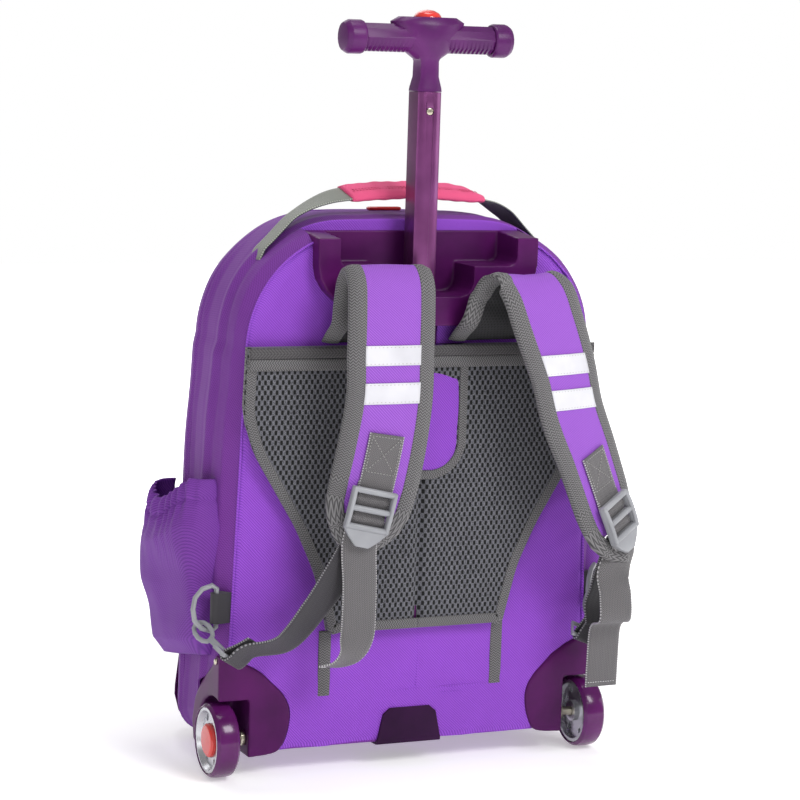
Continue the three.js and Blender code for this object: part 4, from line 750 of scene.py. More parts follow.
def bag_outline(y, count, out=0.0):
    """The bag's outline at depth y as (x, z) points at even distances, from the bottom's middle."""
    half, bulge, top_share, crown_share, base_share = section_at(y)
    seam = BODY_HALF * half + out
    top = BODY_TOP * top_share + out
    base = BODY_BASE * base_share - out
    shoulder, corner, crown = SHOULDER_R + out, CORNER_R + out, BODY_CROWN * crown_share
    low, high = seam + SEAM_LEAN * 0.45, seam - SEAM_LEAN * 0.45
    side_low, side_high = base + corner, top - shoulder
    rows = [np.array([[0.0, base], [low * 0.36, base]]),
            arc_points(low - corner, side_low, corner, -90, 0, 12)]
    t = np.linspace(0, 1, 30)[1:-1]
    z = mix(side_low, side_high, t)
    swell = smooth_step(104, 194, z) * (1 - 0.6 * smooth_step(0.75, 1, t))
    rows.append(np.stack([mix(low, high, t) + SEAM_LEAN * bulge * swell, z], axis=1))
    bow = arc_points(high - shoulder, side_high, shoulder, 0, 90, 24)
    rows.append(bow)
    rows.append(np.stack([np.linspace(high - shoulder, 0, 14)[1:], np.full(13, top)], axis=1))
    half_line = np.concatenate(rows)
    above = half_line[:, 1] >= side_high - 1e-6
    half_line[above, 1] += crown * (1 - (half_line[above, 0] / high) ** 2)
    mirror = half_line[1:-1][::-1] * np.array([-1, 1])
    ring = np.concatenate([half_line, mirror])
    closed = np.concatenate([ring, ring[:1]])
    step = np.concatenate([[0], np.cumsum(np.linalg.norm(np.diff(closed, axis=0), axis=1))])
    at = np.linspace(0, step[-1], count, endpoint=False)
    return np.stack([np.interp(at, step, closed[:, k]) for k in range(2)], axis=1)


print("outline at y 40:", np.round(bag_outline(40, 8), 1).tolist())

# %% [markdown]
# Cloth over a soft frame is never quite flat. Slow waves push it in and out by about a
# millimetre. Each piece has its own seed, so each run gives the same folds.

# %% Folds and waves


def waves(points, length_mm, seed, count=7):
    """Slow seeded waves of about one length, between -1 and 1, for each point."""
    rng = np.random.default_rng(seed)
    total = np.zeros(points.shape[:-1])
    for _ in range(count):
        direction = rng.normal(size=3)
        direction /= np.linalg.norm(direction)
        size = length_mm * rng.uniform(0.6, 1.6)
        total += np.sin(points @ direction * (2 * math.pi / size) + rng.uniform(0, 2 * math.pi))
    return total / count * 1.6


print("one wave row", np.round(waves(np.zeros((1, 2, 3)), 50, 1), 2).tolist())

# %% [markdown]
# A sheet starts as a grid of points on its outer face. Its inner face is the same grid, set
# back by the thickness of the cloth, and a rim joins the two. This gives a closed body that
# can be cut, which a single layer could not be.

# %% A sheet of cloth


def grid_normals(grid, wrap):
    du = np.roll(grid, -1, 1) - np.roll(grid, 1, 1) if wrap else np.gradient(grid, axis=1)
    dv = np.gradient(grid, axis=0)
    normal = np.cross(du, dv)
    return normal / np.maximum(np.linalg.norm(normal, axis=2), 1e-9)[:, :, None]


def cloth(name, grid, thick, material, wrap=False, flip=False, relief=None, **placing):
    """A closed sheet from a grid of points: outer side, inner side and its cut edges."""
    grid = np.array(grid, float)
    normal = grid_normals(grid, wrap) * (-1 if flip else 1)
    if relief is not None:
        grid = grid + normal * relief[:, :, None]
        normal = grid_normals(grid, wrap) * (-1 if flip else 1)
    rows, cols = grid.shape[:2]
    inner = grid - normal * thick
    points = np.concatenate([grid.reshape(-1, 3), inner.reshape(-1, 3)])
    r, c = np.meshgrid(np.arange(rows - 1), np.arange(cols if wrap else cols - 1), indexing="ij")
    a = (r * cols + c).ravel()
    b = (r * cols + (c + 1) % cols).ravel()
    faces = np.stack([a, b, b + cols, a + cols], axis=1)
    shift = rows * cols
    under = faces[:, ::-1] + shift
    rim = []
    edge_cols = range(cols if wrap else cols - 1)
    for row_index in (0, rows - 1):
        for k in edge_cols:
            p, q = row_index * cols + k, row_index * cols + (k + 1) % cols
            rim.append((p, q, q + shift, p + shift))
    if not wrap:
        for k in range(rows - 1):
            for col_index in (0, cols - 1):
                p, q = k * cols + col_index, (k + 1) * cols + col_index
                rim.append((p, q, q + shift, p + shift))
    across = np.concatenate([[0], np.cumsum(np.linalg.norm(np.diff(grid[rows // 2], axis=0), axis=1))])
    down = np.concatenate([[0], np.cumsum(np.linalg.norm(np.diff(grid[:, cols // 2], axis=0), axis=1))])
    uv = np.stack(np.meshgrid(across / 1000, down / 1000), axis=-1).reshape(-1, 2)
    uvs = np.concatenate([uv, uv])
    faces = faces.tolist() + under.tolist() + rim
    return outward(mesh_piece(name, points, faces, [material], uvs=uvs, **placing))


print("cloth is", CLOTH, "mm thick")

# %% [markdown]
# The gussets: a fold line runs round the bag 40 mm in front of the back seam, a second
# layer starts at 100 mm, and between them the cloth sinks a little. The back panel is
# pulled over its foam, so it is nearly flat and rolls off at the seam.

# %% Gussets and panels
AROUND = 380
SEAM_PUCKER_MM = 14.0


def gusset(name, y_from, y_to, steps, relief_at, slot="violet_fabric"):
    depths = np.linspace(y_from, y_to, steps)
    grid = np.array([[(x, y, z) for x, z in bag_outline(y, AROUND)] for y in depths])
    relief = relief_at(grid)
    return cloth(name, grid, CLOTH, gusset_cloth_painted_shade, wrap=True, flip=True, relief=relief, slot=slot)


def rear_relief(grid):
    x, y = grid[:, :, 0], grid[:, :, 1]
    side = smooth_step(105, 150, np.abs(x))
    fold = 2.4 * np.exp(-((y - 40) / 5.0) ** 2) - 1.6 * np.exp(-((y - 31) / 5.0) ** 2)
    sink = -2.8 * smooth_step(44, 60, y) * (1 - smooth_step(84, 95, y))
    pucker = 0.3 * waves(grid * np.array([1.0, 0.2, 1.0]), SEAM_PUCKER_MM,
                         3) * np.exp(-((y - 3) / 5) ** 2)
    stretch = np.array([1.0, 1.0, 0.45])
    crease = 1.3 * waves(grid * stretch, 70, 5) + 0.3 * waves(grid * stretch, 26, 8)
    calm = 1 - 0.75 * np.exp(-(y / 10) ** 2)
    return fold * (0.35 + 0.65 * side) + sink * side + pucker * side + crease * calm * (0.4 + 0.6 * side)


def front_relief(grid):
    x, y = grid[:, :, 0], grid[:, :, 1]
    side = smooth_step(105, 150, np.abs(x))
    step = 2.6 * smooth_step(97, 101, y) * (1 - smooth_step(104, 150, y))
    stretch = np.array([1.0, 1.0, 0.5])
    return step * (0.3 + 0.7 * side) + 1.0 * waves(grid * stretch, 52, 15) * (0.4 + 0.6 * side)


rear_gusset = gusset("rear_gusset_cloth", 0.4, 95.2, 60, rear_relief)
front_gusset = gusset("front_gusset_cloth", 95.2, 157, 36, front_relief)


print("gusset faces", len(rear_gusset.data.polygons), len(front_gusset.data.polygons))

# %% [markdown]
# The two flat ends of the bag are grids of rings, from the outline to the middle. Rings follow
# the rounded outline without the steps that a square grid would show at its edge.

# %% Back and front panels


def panel(name, y, rings, ring_y, relief_at, flip, material):
    outline = bag_outline(y, AROUND)
    centre = np.array([0.0, 236.0])
    grid = []
    for share in np.linspace(1, 0.02, rings):
        ring = centre + (outline - centre) * share
        grid.append([(px, ring_y(share), pz) for px, pz in ring])
    grid = np.array(grid)
    return cloth(name, grid, CLOTH, material, wrap=True, flip=flip, relief=relief_at(grid),
                 slot="violet_fabric")


# Creases of the back: x and z of both ends, depth and half width, for the left side.
CREASES = [(-166, 304, -138, 262, 1.3, 5), (-166, 208, -122, 182, 1.2, 5), (-164, 146, -112, 130, 1.4, 5),
           (-160, 96, -108, 104, 0.9, 4), (-150, 236, -118, 222, 0.8, 5)]


def crease_depth(x, z, ends):
    """A valley along a line that fades at both its ends."""
    x0, z0, x1, z1, depth, half = ends
    run = np.array([x1 - x0, z1 - z0], float)
    length = np.linalg.norm(run)
    run /= length
    along = (x - x0) * run[0] + (z - z0) * run[1]
    aside = -(x - x0) * run[1] + (z - z0) * run[0]
    fade = smooth_step(-8, 6, along) * (1 - smooth_step(length - 14, length + 8, along))
    return fade * depth * (0.6 * np.exp(-((aside - half) / half) ** 2) - np.exp(-(aside / half) ** 2))


def back_relief(grid):
    x, z = grid[:, :, 0], grid[:, :, 2]
    edge = smooth_step(0, 14, 165 - np.abs(x))
    valley = sum(crease_depth(-np.abs(x), z + 9 * (x > 0), ends) for ends in CREASES)
    folds = 0.9 * waves(grid * np.array([1, 1, 0.6]), 60, 21) + 0.35 * waves(grid, 20, 22)
    return folds * edge + valley * smooth_step(0, 5, 168 - np.abs(x))


def back_depth(share):
    return 0.2 + 2.2 * smooth_step(0.985, 1.0, share)


back_panel = panel("back_panel_cloth", 0.0, 46, back_depth, back_relief, True, violet_twill)
front_panel = panel("front_panel_cloth", 157.0, 24, lambda share: 158.5 + 1.5 * (1 - share),
                    lambda grid: 1.2 * waves(grid, 70, 31), False, twill_in_painted_shade)
shell = (rear_gusset, front_gusset, back_panel, front_panel)
print("body cloth faces:", sum(len(piece.data.polygons) for piece in shell))

# %% [markdown]
# The tray of the trolley and the two wheel housings are let into the bag. Their outlines
# are drawn as prisms and cut out of the cloth, a little wider than the plastic.

# %% Openings in the cloth
HOUSING_FACE, HOUSING_INNER, HOUSING_LOW, HOUSING_HIGH = 171.0, 107.5, 16.5, 104.0
HOUSING_REAR, HOUSING_REACH = -3.0, 62.0
HOUSING_BACK = [(0, 0), (0.76, 0), (0.9, 0.08), (0.985, 0.26), (1, 0.44), (0.9, 0.59), (0.72, 0.71),
                (0.55, 0.84),
                (0.06, 1), (0, 1)]
HOUSING_SIDE = [(0, 0), (0.93, 0), (1, 0.22), (0.9, 0.46), (0.66, 0.66), (0.29, 0.86), (0.13, 1), (0, 1)]
TROLLEY_OUTLINE = [(60, 372), (69, 383), (90, 401), (96, 411), (98, 421), (98, 446), (98, 475)]


def grown(outline, distance):
    """Moves every side of an outline outwards by the same distance."""
    outline = np.array(outline, float)
    area = sum(a[0] * b[1] - b[0] * a[1] for a, b in zip(outline, np.roll(outline, -1, 0)))
    turn = 1 if area > 0 else -1
    result = []
    for k, point in enumerate(outline):
        before, after = outline[k - 1], outline[(k + 1) % len(outline)]
        a = (point - before) / np.linalg.norm(point - before)
        b = (after - point) / np.linalg.norm(after - point)
        side = np.array([a[1] + b[1], -a[0] - b[0]]) * turn
        side /= np.linalg.norm(side)
        result.append(point + side * distance / max(0.3, abs(side[0] * a[1] - side[1] * a[0])))
    return np.array(result)


def prism(name, axis, outline, low, high):
    """A closed prism: the outline holds (x, z) for axis y and (y, z) for axis x."""
    ends = []
    for value in (low, high):
        ends += [(u, value, v) if axis == "y" else (value, u, v) for u, v in outline]
    count = len(outline)
    faces = [tuple(range(count)), tuple(range(2 * count - 1, count - 1, -1))]
    faces += [(k, (k + 1) % count, (k + 1) % count + count, k + count) for k in range(count)]
    return outward(mesh_piece(name, ends, faces, []))


def cut(piece, cutter, operation="DIFFERENCE"):
    """Cuts one closed shape out of another, and removes the cutter."""
    modify(piece, "BOOLEAN", object=cutter, operation=operation, solver="MANIFOLD")
    drop(cutter)
    return piece


print("cutting tools ready")

# %% [markdown]
# Each cutter is a prism in the outline of the plastic part. The outline is grown by a small
# gap, so that cloth and plastic stay apart.

# %% Cutters for the housings and the trolley


def eased(outline, passes=3):
    """Takes the corners off a closed outline again and again, until it turns in curves."""
    line = np.array(outline, float)
    for _ in range(passes):
        after = np.roll(line, -1, axis=0)
        line = np.stack([line * 0.75 + after * 0.25, line * 0.25 + after * 0.75], axis=1).reshape(-1, 2)
    return line


def housing_cutter(sign, grow):
    span, rise = HOUSING_FACE - HOUSING_INNER, HOUSING_HIGH - HOUSING_LOW
    rear = [(-HOUSING_FACE + a * span, HOUSING_LOW + b * rise) for a, b in HOUSING_BACK]
    rear = [(x - 20 if x < -HOUSING_FACE + 1 else x, z) for x, z in grown(rear, grow)]
    flank = [(HOUSING_REAR + a * (HOUSING_REACH - HOUSING_REAR), HOUSING_LOW + b * rise) for a,
             b in HOUSING_SIDE]
    block = prism("housing_cutter", "y", [(-sign * x, z) for x, z in eased(rear)], HOUSING_REAR - 20,
                  HOUSING_REACH + grow)
    slab = prism("housing_slab", "x",
                 [(y - 20 if y < HOUSING_REAR + 1 else y, z) for y, z in grown(flank, grow)],
                 *sorted((sign * (HOUSING_INNER - grow), sign * (HOUSING_FACE + 30))))
    return cut(block, slab, "INTERSECT")


def trolley_cutter(grow):
    half = TROLLEY_OUTLINE
    outline = grown(half + [(-x, z) for x, z in reversed(half)], grow)
    return prism("trolley_cutter", "y", outline, -30, 28 + grow)


print("cutters ready")

# %% [markdown]
# The cloth could be built round the openings, but a Boolean cut keeps its grid simple. Each
# sheet is cut once by each part that sits in it.

# %% Cutting the cloth open


for cloth_piece in (rear_gusset, back_panel):
    for sign in (-1, 1):
        cut(cloth_piece, housing_cutter(sign, 0.2))
    cut(cloth_piece, trolley_cutter(0.2))
    smooth_by_angle(cloth_piece, 50)


def tube_channel():
    """The bed of the guide tube, through the cloth and into the foam in front of it."""
    return prism("tube_channel", "y", [(-13.5, 124.6), (13.5, 124.6), (13.5, 372.2), (-13.5, 372.2)],
                 -6.7, 24.0)


cut(back_panel, tube_channel())
print("rear gusset faces after the cuts", len(rear_gusset.data.polygons))

# %% [markdown]
# A strip of cloth hangs from the bag's top edge behind the tray's wall. It is a small sheet of
# its own, since the gusset is cut out there. Then the imported shell pieces are hidden.

# %% The strip behind the tray
FACING_Y = 29.2


def facing_grid():
    """A strip of cloth behind the tray, from the bag's top edge down behind the tray's wall."""
    outline = bag_outline(FACING_Y, 800)
    upper = outline[outline[:, 1] > 300]
    xs = np.linspace(-99.5, 99.5, 90)
    order = np.argsort(upper[:, 0])
    tops = np.interp(xs, upper[order, 0], upper[order, 1])
    return np.array([[(x, FACING_Y + 0.4 * t, mix(top - 0.6, 436.0, t)) for x, top in zip(xs, tops)]
                     for t in np.linspace(0, 1, 14)])


facing = cloth("tray_facing_cloth", facing_grid(), CLOTH, violet_twill, slot="violet_fabric")
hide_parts("bag_rear_shell")
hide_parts("bag_front_shell")

# %% [markdown]
# The seam between back panel and gusset shows as a thin raised edge. A seam with a row of
# stitches below it crosses the foot of the back, and a short stitched fold stands in its
# middle.

# %% Seams and stitching of the back
SEAM_R = 1.1


def round_section(radius, sides=8):
    return [(radius * math.cos(a), radius * math.sin(a)) for a in np.linspace(0, 2 * math.pi,
                                                                              sides + 1)[:-1]]


def seam_line(y, keep):
    ring = bag_outline(y, 900)
    return np.array([(x, y, z) for x, z in ring if keep(x, z)])


def ordered(points):
    """Starts an open line at its largest gap, so that it runs in one piece."""
    gaps = np.linalg.norm(points - np.roll(points, 1, axis=0), axis=1)
    return np.roll(points, -int(np.argmax(gaps)), axis=0)


edge_line = ordered(seam_line(0.6, lambda x, z: not (z > 415 and abs(x) < 97) and z > 106))
edge_line[:, 1] = -0.2
halves = {"left": edge_line[edge_line[:, 0] < 0], "right": edge_line[edge_line[:, 0] > 0]}
for side, line in halves.items():
    line = even(ordered(line), 220)
    seam = sweep(f"back_seam_{side}", line, np.tile([0.0, 1.0, 0.0], (220, 1)), round_section(SEAM_R),
                 [violet_twill], slot="violet_fabric")
    inward = line.copy()
    inward[:, 0] *= 0.965
    inward[:, 1] = -0.5
    stitches(f"back_edge_stitch_{side}", inward, (0, -1, 0), violet_thread, 3.0, radius=0.24)
foot_line = even([(-104.0, -0.8, 64.6), (0.0, -0.8, 64.2), (104.0, -0.8, 64.4)], 160)
foot_seam = sweep("foot_seam", foot_line, np.tile([0.0, 1.0, 0.0], (160, 1)), round_section(0.8),
                  [violet_twill], slot="violet_fabric")
stitches("foot_seam_stitch", foot_line - np.array([0, 0, 5.0]), (0, -1, 0), violet_thread, 3.0)
fold_line = even([(5.4, -1.0, 66.0), (6.3, -1.0, 90.0), (6.1, -1.0, 117.0)], 60)
fold = sweep("centre_fold", fold_line, np.tile([1.0, 0.0, 0.0], (60, 1)), round_section(1.0),
             [violet_twill],
             slot="violet_fabric")
stitches("centre_fold_stitch", fold_line - np.array([5.0, -0.3, 0]), (0, -1, 0), violet_thread, 3.0)
stitches("pad_foot_stitch", even([(-76.0, -0.8, 116.5), (76.0, -0.8, 116.5)], 60), (0, -1, 0),
         violet_thread, 3.0)

# %% [markdown]
# ## The back panel
# The mesh pad narrows towards its foot and has a sewn groove up its middle. It is foam
# under a spacer mesh: a grid with a soft crown, rolled down at its edges and closed behind.

# %% Mesh pad
PAD_BACK, PAD_FACE = -0.4, -10.4
PAD_LOW, PAD_TOP = 120.0, 356.0
PAD_HALF_TOP, PAD_HALF_LOW = 156.0, 78.0
PAD_EDGE = [(0, 1), (0.21, 0.84), (0.36, 0.63), (0.51, 0.36), (0.64, 0.12), (0.77, 0.0), (1, 0.0256)]


def pad_half(z):
    share = np.array(PAD_EDGE)
    up = (z - PAD_LOW) / (PAD_TOP - PAD_LOW)
    smooth_up = np.linspace(-0.02, 1.02, 300)
    drop = np.interp(smooth_up, share[:, 0], share[:, 1])
    drop = np.convolve(np.pad(drop, 12, mode="edge"), np.ones(25) / 25, "valid")
    return PAD_HALF_TOP - np.interp(up, smooth_up, drop) * (PAD_HALF_TOP - PAD_HALF_LOW)


print("pad half width at mid height", round(float(pad_half(238)), 1))

# %% [markdown]
# Bindings and pads are sewn on the flat back. One tool prints a band's width and length, and the
# other closes a front grid to a block of foam with a flat back.

# %% Bands and pads


def band_sheet(piece, width_mm, length_mm):
    """Prints a woven band's cut width and its length."""
    print(piece.name, "band", width_mm, "x", round(length_mm), "mm")


def length_of(line):
    return float(np.linalg.norm(np.diff(np.array(line, float), axis=0), axis=1).sum())


def block_from_grid(name, front, back_y, materials, **placing):
    """A closed pad: the given front grid, a flat back at back_y and sides between them."""
    rows, cols = front.shape[:2]
    back_grid = front.copy()
    back_grid[:, :, 1] = back_y
    points = np.concatenate([front.reshape(-1, 3), back_grid.reshape(-1, 3)])
    r, c = np.meshgrid(np.arange(rows - 1), np.arange(cols - 1), indexing="ij")
    a = (r * cols + c).ravel()
    faces = np.stack([a, a + 1, a + cols + 1, a + cols], axis=1)
    shift = rows * cols
    ring = [k for k in range(cols)] + [k * cols + cols - 1 for k in range(1, rows)]
    ring += [(rows - 1) * cols + k for k in range(cols - 2, -1,
                                                  -1)] + [k * cols for k in range(rows - 2, 0, -1)]
    rim = [(ring[k], ring[(k + 1) % len(ring)], ring[(k + 1) % len(ring)] + shift, ring[k] + shift)
           for k in range(len(ring))]
    across = (front[:, :, 0] / 1000).reshape(-1)
    up = (front[:, :, 2] / 1000).reshape(-1)
    uv = np.stack([across, up], axis=1)
    marks = [0] * (2 * len(faces)) + [len(materials) - 1] * len(rim)
    faces = faces.tolist() + (faces[:, ::-1] + shift).tolist() + rim
    return outward(mesh_piece(name, points, faces, materials, uvs=np.concatenate([uv, uv]),
                              indices=marks, **placing))


print("band and pad tools ready")

# %% [markdown]
# The front of the pad is a grid with a crown, a rolled edge and the sewn groove. The tube's bed
# is cut out of it from behind, so that the stowed trolley has room.

# %% The mesh panel


def mesh_pad_front(columns=150, lines=130):
    grid = []
    for v in np.linspace(0, 1, lines):
        z = mix(PAD_LOW, PAD_TOP, v)
        half = float(pad_half(z))
        u = np.linspace(-1, 1, columns)
        u = np.sign(u) * (1 - (1 - np.abs(u)) ** 1.25)
        x = u * half
        edge = np.minimum(half - np.abs(x), np.minimum(z - PAD_LOW, PAD_TOP - z + 6))
        roll = 1 - np.clip(edge / 9.0, 0, 1)
        y = PAD_FACE + 6.5 * roll ** 2.4
        y = y + 4.0 * np.exp(-(x / 3.4) ** 2) * (z < 250)
        y = y - 1.0 * smooth_step(10, 40, edge)
        grid.append(np.stack([x, y, np.full_like(x, z)], axis=1))
    return np.array(grid)


mesh_front = mesh_pad_front()
mesh_pad = block_from_grid("mesh_pad_finished", mesh_front, PAD_BACK, [mesh_cloth, knit_binding],
                           slot="grey_mesh")
cut(mesh_pad, tube_channel())
smooth_by_angle(mesh_pad, 50)
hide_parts("mesh_pad")

# %% [markdown]
# The U-shaped panel over the tubes: the same foam under violet cloth, wider at the top,
# with both lower corners rounded. Its border is bound with a grey knitted tape.

# %% Tube cover
COVER_HALF, COVER_LOW, COVER_R = 36.0, 247.0, 30.0


def cover_front(columns=60, lines=90):
    grid = []
    for v in np.linspace(0, 1, lines):
        z = mix(COVER_LOW + 0.2, PAD_TOP, v)
        under = COVER_LOW + COVER_R - z
        half = COVER_HALF - (COVER_R - math.sqrt(max(0.0, COVER_R ** 2 - under ** 2)) if under > 0 else 0.0)
        u = np.linspace(-1, 1, columns)
        x = u * half
        edge = np.minimum(half - np.abs(x), (z - COVER_LOW))
        roll = 1 - np.clip(edge / 8.0, 0, 1)
        rise = 1 - smooth_step(322, 340, z)
        y = PAD_FACE + 0.3 - 1.9 * rise + 5.0 * roll ** 2.2 - 1.2 * rise * smooth_step(8, 30, edge)
        grid.append(np.stack([x, y, np.full_like(x, z)], axis=1))
    grid = np.array(grid)
    grid[:, :, 1] += 0.5 * waves(grid, 36, 41)
    return grid


tube_cover = block_from_grid("tube_cover_finished", cover_front(), PAD_BACK, [violet_twill],
                             slot="violet_fabric")
cut(tube_cover, tube_channel())
smooth_by_angle(tube_cover, 50)
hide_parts("tube_cover")


print("cover faces", len(tube_cover.data.polygons))

# %% [markdown]
# The raw edges of mesh and cover are closed with knitted tape. A flat band along each edge,
# with a soft crown, shows the tape's thickness in the light.

# %% Bindings of the back panel


def cover_edge(grow=0.0):
    low = [(COVER_HALF - COVER_R + (COVER_R + grow) * math.sin(a), COVER_LOW + COVER_R
            - (COVER_R + grow) * math.cos(a)) for a in np.radians(np.linspace(0, 90, 20))]
    right = [(COVER_HALF + grow, PAD_TOP - 13.5)]
    half = low + right
    return [(-x, z) for x, z in reversed(half)] + half


def tape(name, line, width, thick, material, y_of, slot):
    """A binding tape lying on the panel along a line of (x, z) points."""
    line = even(line, max(12, int(np.linalg.norm(np.diff(np.array(line), axis=0), axis=1).sum() / 2.4)))
    path = np.array([(x, y_of(x, z), z) for x, z in line])
    tangent = np.gradient(line, axis=0)
    wide = np.stack([tangent[:, 1], np.zeros(len(line)), -tangent[:, 0]], axis=1)
    return sweep(name, path, wide, band_section(width, thick, 6, 0.5), [material], slot=slot)


cover_binding = tape("tube_cover_binding", cover_edge(-1.0), 7.5, 1.6, knit_binding,
                     lambda x, z: PAD_FACE - 1.5, "grey_webbing")
band_sheet(cover_binding, 8.0, length_of(cover_edge()))


def pad_side(sign):
    z = np.linspace(PAD_LOW + 1.5, PAD_TOP - 8, 60)
    return [(sign * (float(pad_half(value)) - 3.0), value) for value in z]


for side, sign in SIDES.items():
    line = [(0.0, PAD_LOW + 3.0)] + [(sign * x, PAD_LOW + 3.0) for x in (20.0, 40.0, 60.0,
                                                                         70.0)] + pad_side(sign)
    piece = tape(f"pad_binding_{side}", line, 8.5, 1.6, knit_binding, lambda x, z: PAD_FACE - 0.1,
                 "grey_webbing")
    band_sheet(piece, 9.0, length_of(line))

# %% [markdown]
# Across the foot of both straps runs a dark ribbed webbing with a lighter knitted tape
# below it. Both are sewn flat over the top edge of the mesh.

# %% Yoke band
BAND_HALF = 155.0


def flat_band(name, x0, x1, z_mid, width, y, material, thick=1.4, slot="grey_webbing", sag=0.0):
    xs = np.linspace(x0, x1, 90)
    path = np.stack([xs, np.full(90, y), z_mid + sag * np.sin(xs / 40.0)], axis=1)
    wide = np.tile([0.0, 0.0, 1.0], (90, 1))
    return sweep(name, path, wide, band_section(width, thick, 5, 0.2), [material], slot=slot)


yoke_top = flat_band("yoke_band_webbing", -BAND_HALF, BAND_HALF, 351.5, 9.0, -12.2, yoke_webbing)
yoke_low = flat_band("yoke_band_binding", -BAND_HALF, BAND_HALF, 342.0, 9.5, -12.4, knit_binding, sag=0.3)
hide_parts("yoke_band")
band_sheet(yoke_top, 10.0, 2 * BAND_HALF)
band_sheet(yoke_low, 10.5, 2 * BAND_HALF)
print("back panel pieces done")

# %% [markdown]
# ## Shoulder straps
# Foam straps: violet twill outside, black mesh inside, a grey knitted binding folded over
# both long edges, and a white reflective band low down. A strap leaves the yoke upwards,
# folds over and hangs to its adjuster.

# %% Strap paths
STRAP_W, STRAP_T = 74.0, 8.0
STRAP_REACH, STRAP_CREST, PAD_END = 56.0, 420.0, 218.0
# Rows: x from the strap's base, share of the reach, share of the height, turn, width, thickness.
STRAP_LEFT = [
    (0, 0.11, 0.706, 0, 1, 0.5), (0, 0.23, 0.735, 0, 1, 0.7), (1, 0.41, 0.785, 0, 1, 0.9),
    (2, 0.44, 0.87, 0, 1, 1),
    (3, 0.5, 0.955, 0, 1, 1), (4, 0.66, 1, 0, 1, 1), (4, 0.86, 0.95, 0, 1, 1), (3, 0.95, 0.85, 0, 1, 1),
    (2, 1, 0.68, 0, 1, 1), (2, 1, 0.5, 0, 1, 1), (-3, 0.98, 0.3, -4, 1, 1),
    (-10, 0.94, 0.11, -6, 0.95, 0.9),
    (-15, 0.92, 0.02, -6, 0.6, 0.7),
]
STRAP_RIGHT = [
    (0, 0.11, 0.706, 0, 1, 0.5), (0, 0.23, 0.735, 2, 1, 0.7), (1, 0.44, 0.785, 4, 1, 0.9),
    (6, 0.48, 0.85, 6, 1, 1),
    (12, 0.54, 0.92, 8, 1, 1), (17, 0.68, 0.955, 10, 1, 1), (23, 0.86, 0.9, 13, 1, 1),
    (32, 0.92, 0.78, 16, 1, 1),
    (46, 0.92, 0.6, 20, 1, 1), (57, 0.9, 0.42, 22, 1, 1), (73, 0.88, 0.24, 24, 1, 1),
    (91, 0.87, 0.02, 26, 0.95, 0.9),
    (100, 0.87, -0.07, 26, 0.6, 0.7),
]
BASES = {"left": -53.0, "right": 60.0}
ROWS = {"left": STRAP_LEFT, "right": STRAP_RIGHT}


def strap_rows(side):
    table = []
    for x, reach, up, turn, width, thick in ROWS[side]:
        angle = math.radians(turn)
        table.append((BASES[side] + x, -STRAP_REACH * reach, mix(PAD_END, STRAP_CREST, up),
                      math.cos(angle),
                      math.sin(angle), width, thick))
    return table


print("rows of each strap", len(STRAP_LEFT), len(STRAP_RIGHT))

# %% [markdown]
# The lock, the webs and the patch share one place: the last rows of a strap give its centre
# and its turn. Everything there is placed in that small frame, so it stays together.

# %% Where the hardware sits


def strap_frame(side):
    """Where a strap's hardware sits: columns across, down, out and the origin."""
    table = np.array(strap_rows(side))
    tip, upper = table[-1, :3], table[-3, :3]
    down = (tip - upper) / np.linalg.norm(tip - upper)
    wide = np.array([table[-1, 3], table[-1, 4], 0.0])
    wide = wide - down * (wide @ down)
    wide /= np.linalg.norm(wide)
    out = np.cross(down, wide)
    if out[1] > 0:
        out = -out
    origin = upper + out * STRAP_T / 2 + down * np.linalg.norm(tip - upper)
    return wide, down, out, origin


def at(place, u, v, w):
    wide, down, out, origin = place
    return origin + wide * u + down * v + out * w


print("left strap ends at", np.round(strap_frame("left")[3], 1).tolist())

# %% [markdown]
# The strap is wide and thick in its middle and thin at its sewn ends. One table of widths and
# one of thicknesses scale the section along the path.

# %% The straps' shape


def end_taper(side):
    """The strap's path, and the distance from each station to the strap's end, which sets its narrowing."""
    path = even(curve_through(strap_rows(side), 200), 170)
    tail = np.linalg.norm(np.diff(path[:, :3], axis=0), axis=1)
    left = np.concatenate([np.cumsum(tail[::-1])[::-1], [0]])
    return path, left


def strap_path(side):
    path, left = end_taper(side)
    width = STRAP_W / 2 * np.interp(left, [0, 4, 12, 30], [0.6, 0.8, 0.97, 1.0])
    thick = np.interp(left, [0, 10, 30], [0.62, 0.85, 1.0]) * np.interp(np.arange(len(left)), [0, 12, 30],
                                                                          [0.5, 0.75, 1.0])
    wide = np.stack([path[:, 3], path[:, 4], np.zeros(len(path))], axis=1)
    return path[:, :3], wide, width, thick


def soft_section(half, thick, crown, steps=17):
    """Padded strap: a flatter back (first half) and a crowned face."""
    u = np.linspace(-half, half, steps)
    share = np.clip(1 - np.abs(u) / half, 0, 1)
    lift = 1 - (1 - np.clip(share * half / 7.0, 0, 1)) ** 2
    rear = [(a, -(0.8 + (thick / 2 - 0.8) * b)) for a, b in zip(u, lift)]
    face = [(a, 0.8 + (thick / 2 - 0.8) * b + crown * (1 - (a / half) ** 2))
            for a, b in zip(u[::-1], lift[::-1])]
    return rear + face


print("left strap runs", round(length_of(strap_path("left")[0])), "mm")

# %% [markdown]
# The inner face of the straps is a black mesh. It is the lattice of the back's mesh with
# smaller holes and less contrast, since it lies in the shade.

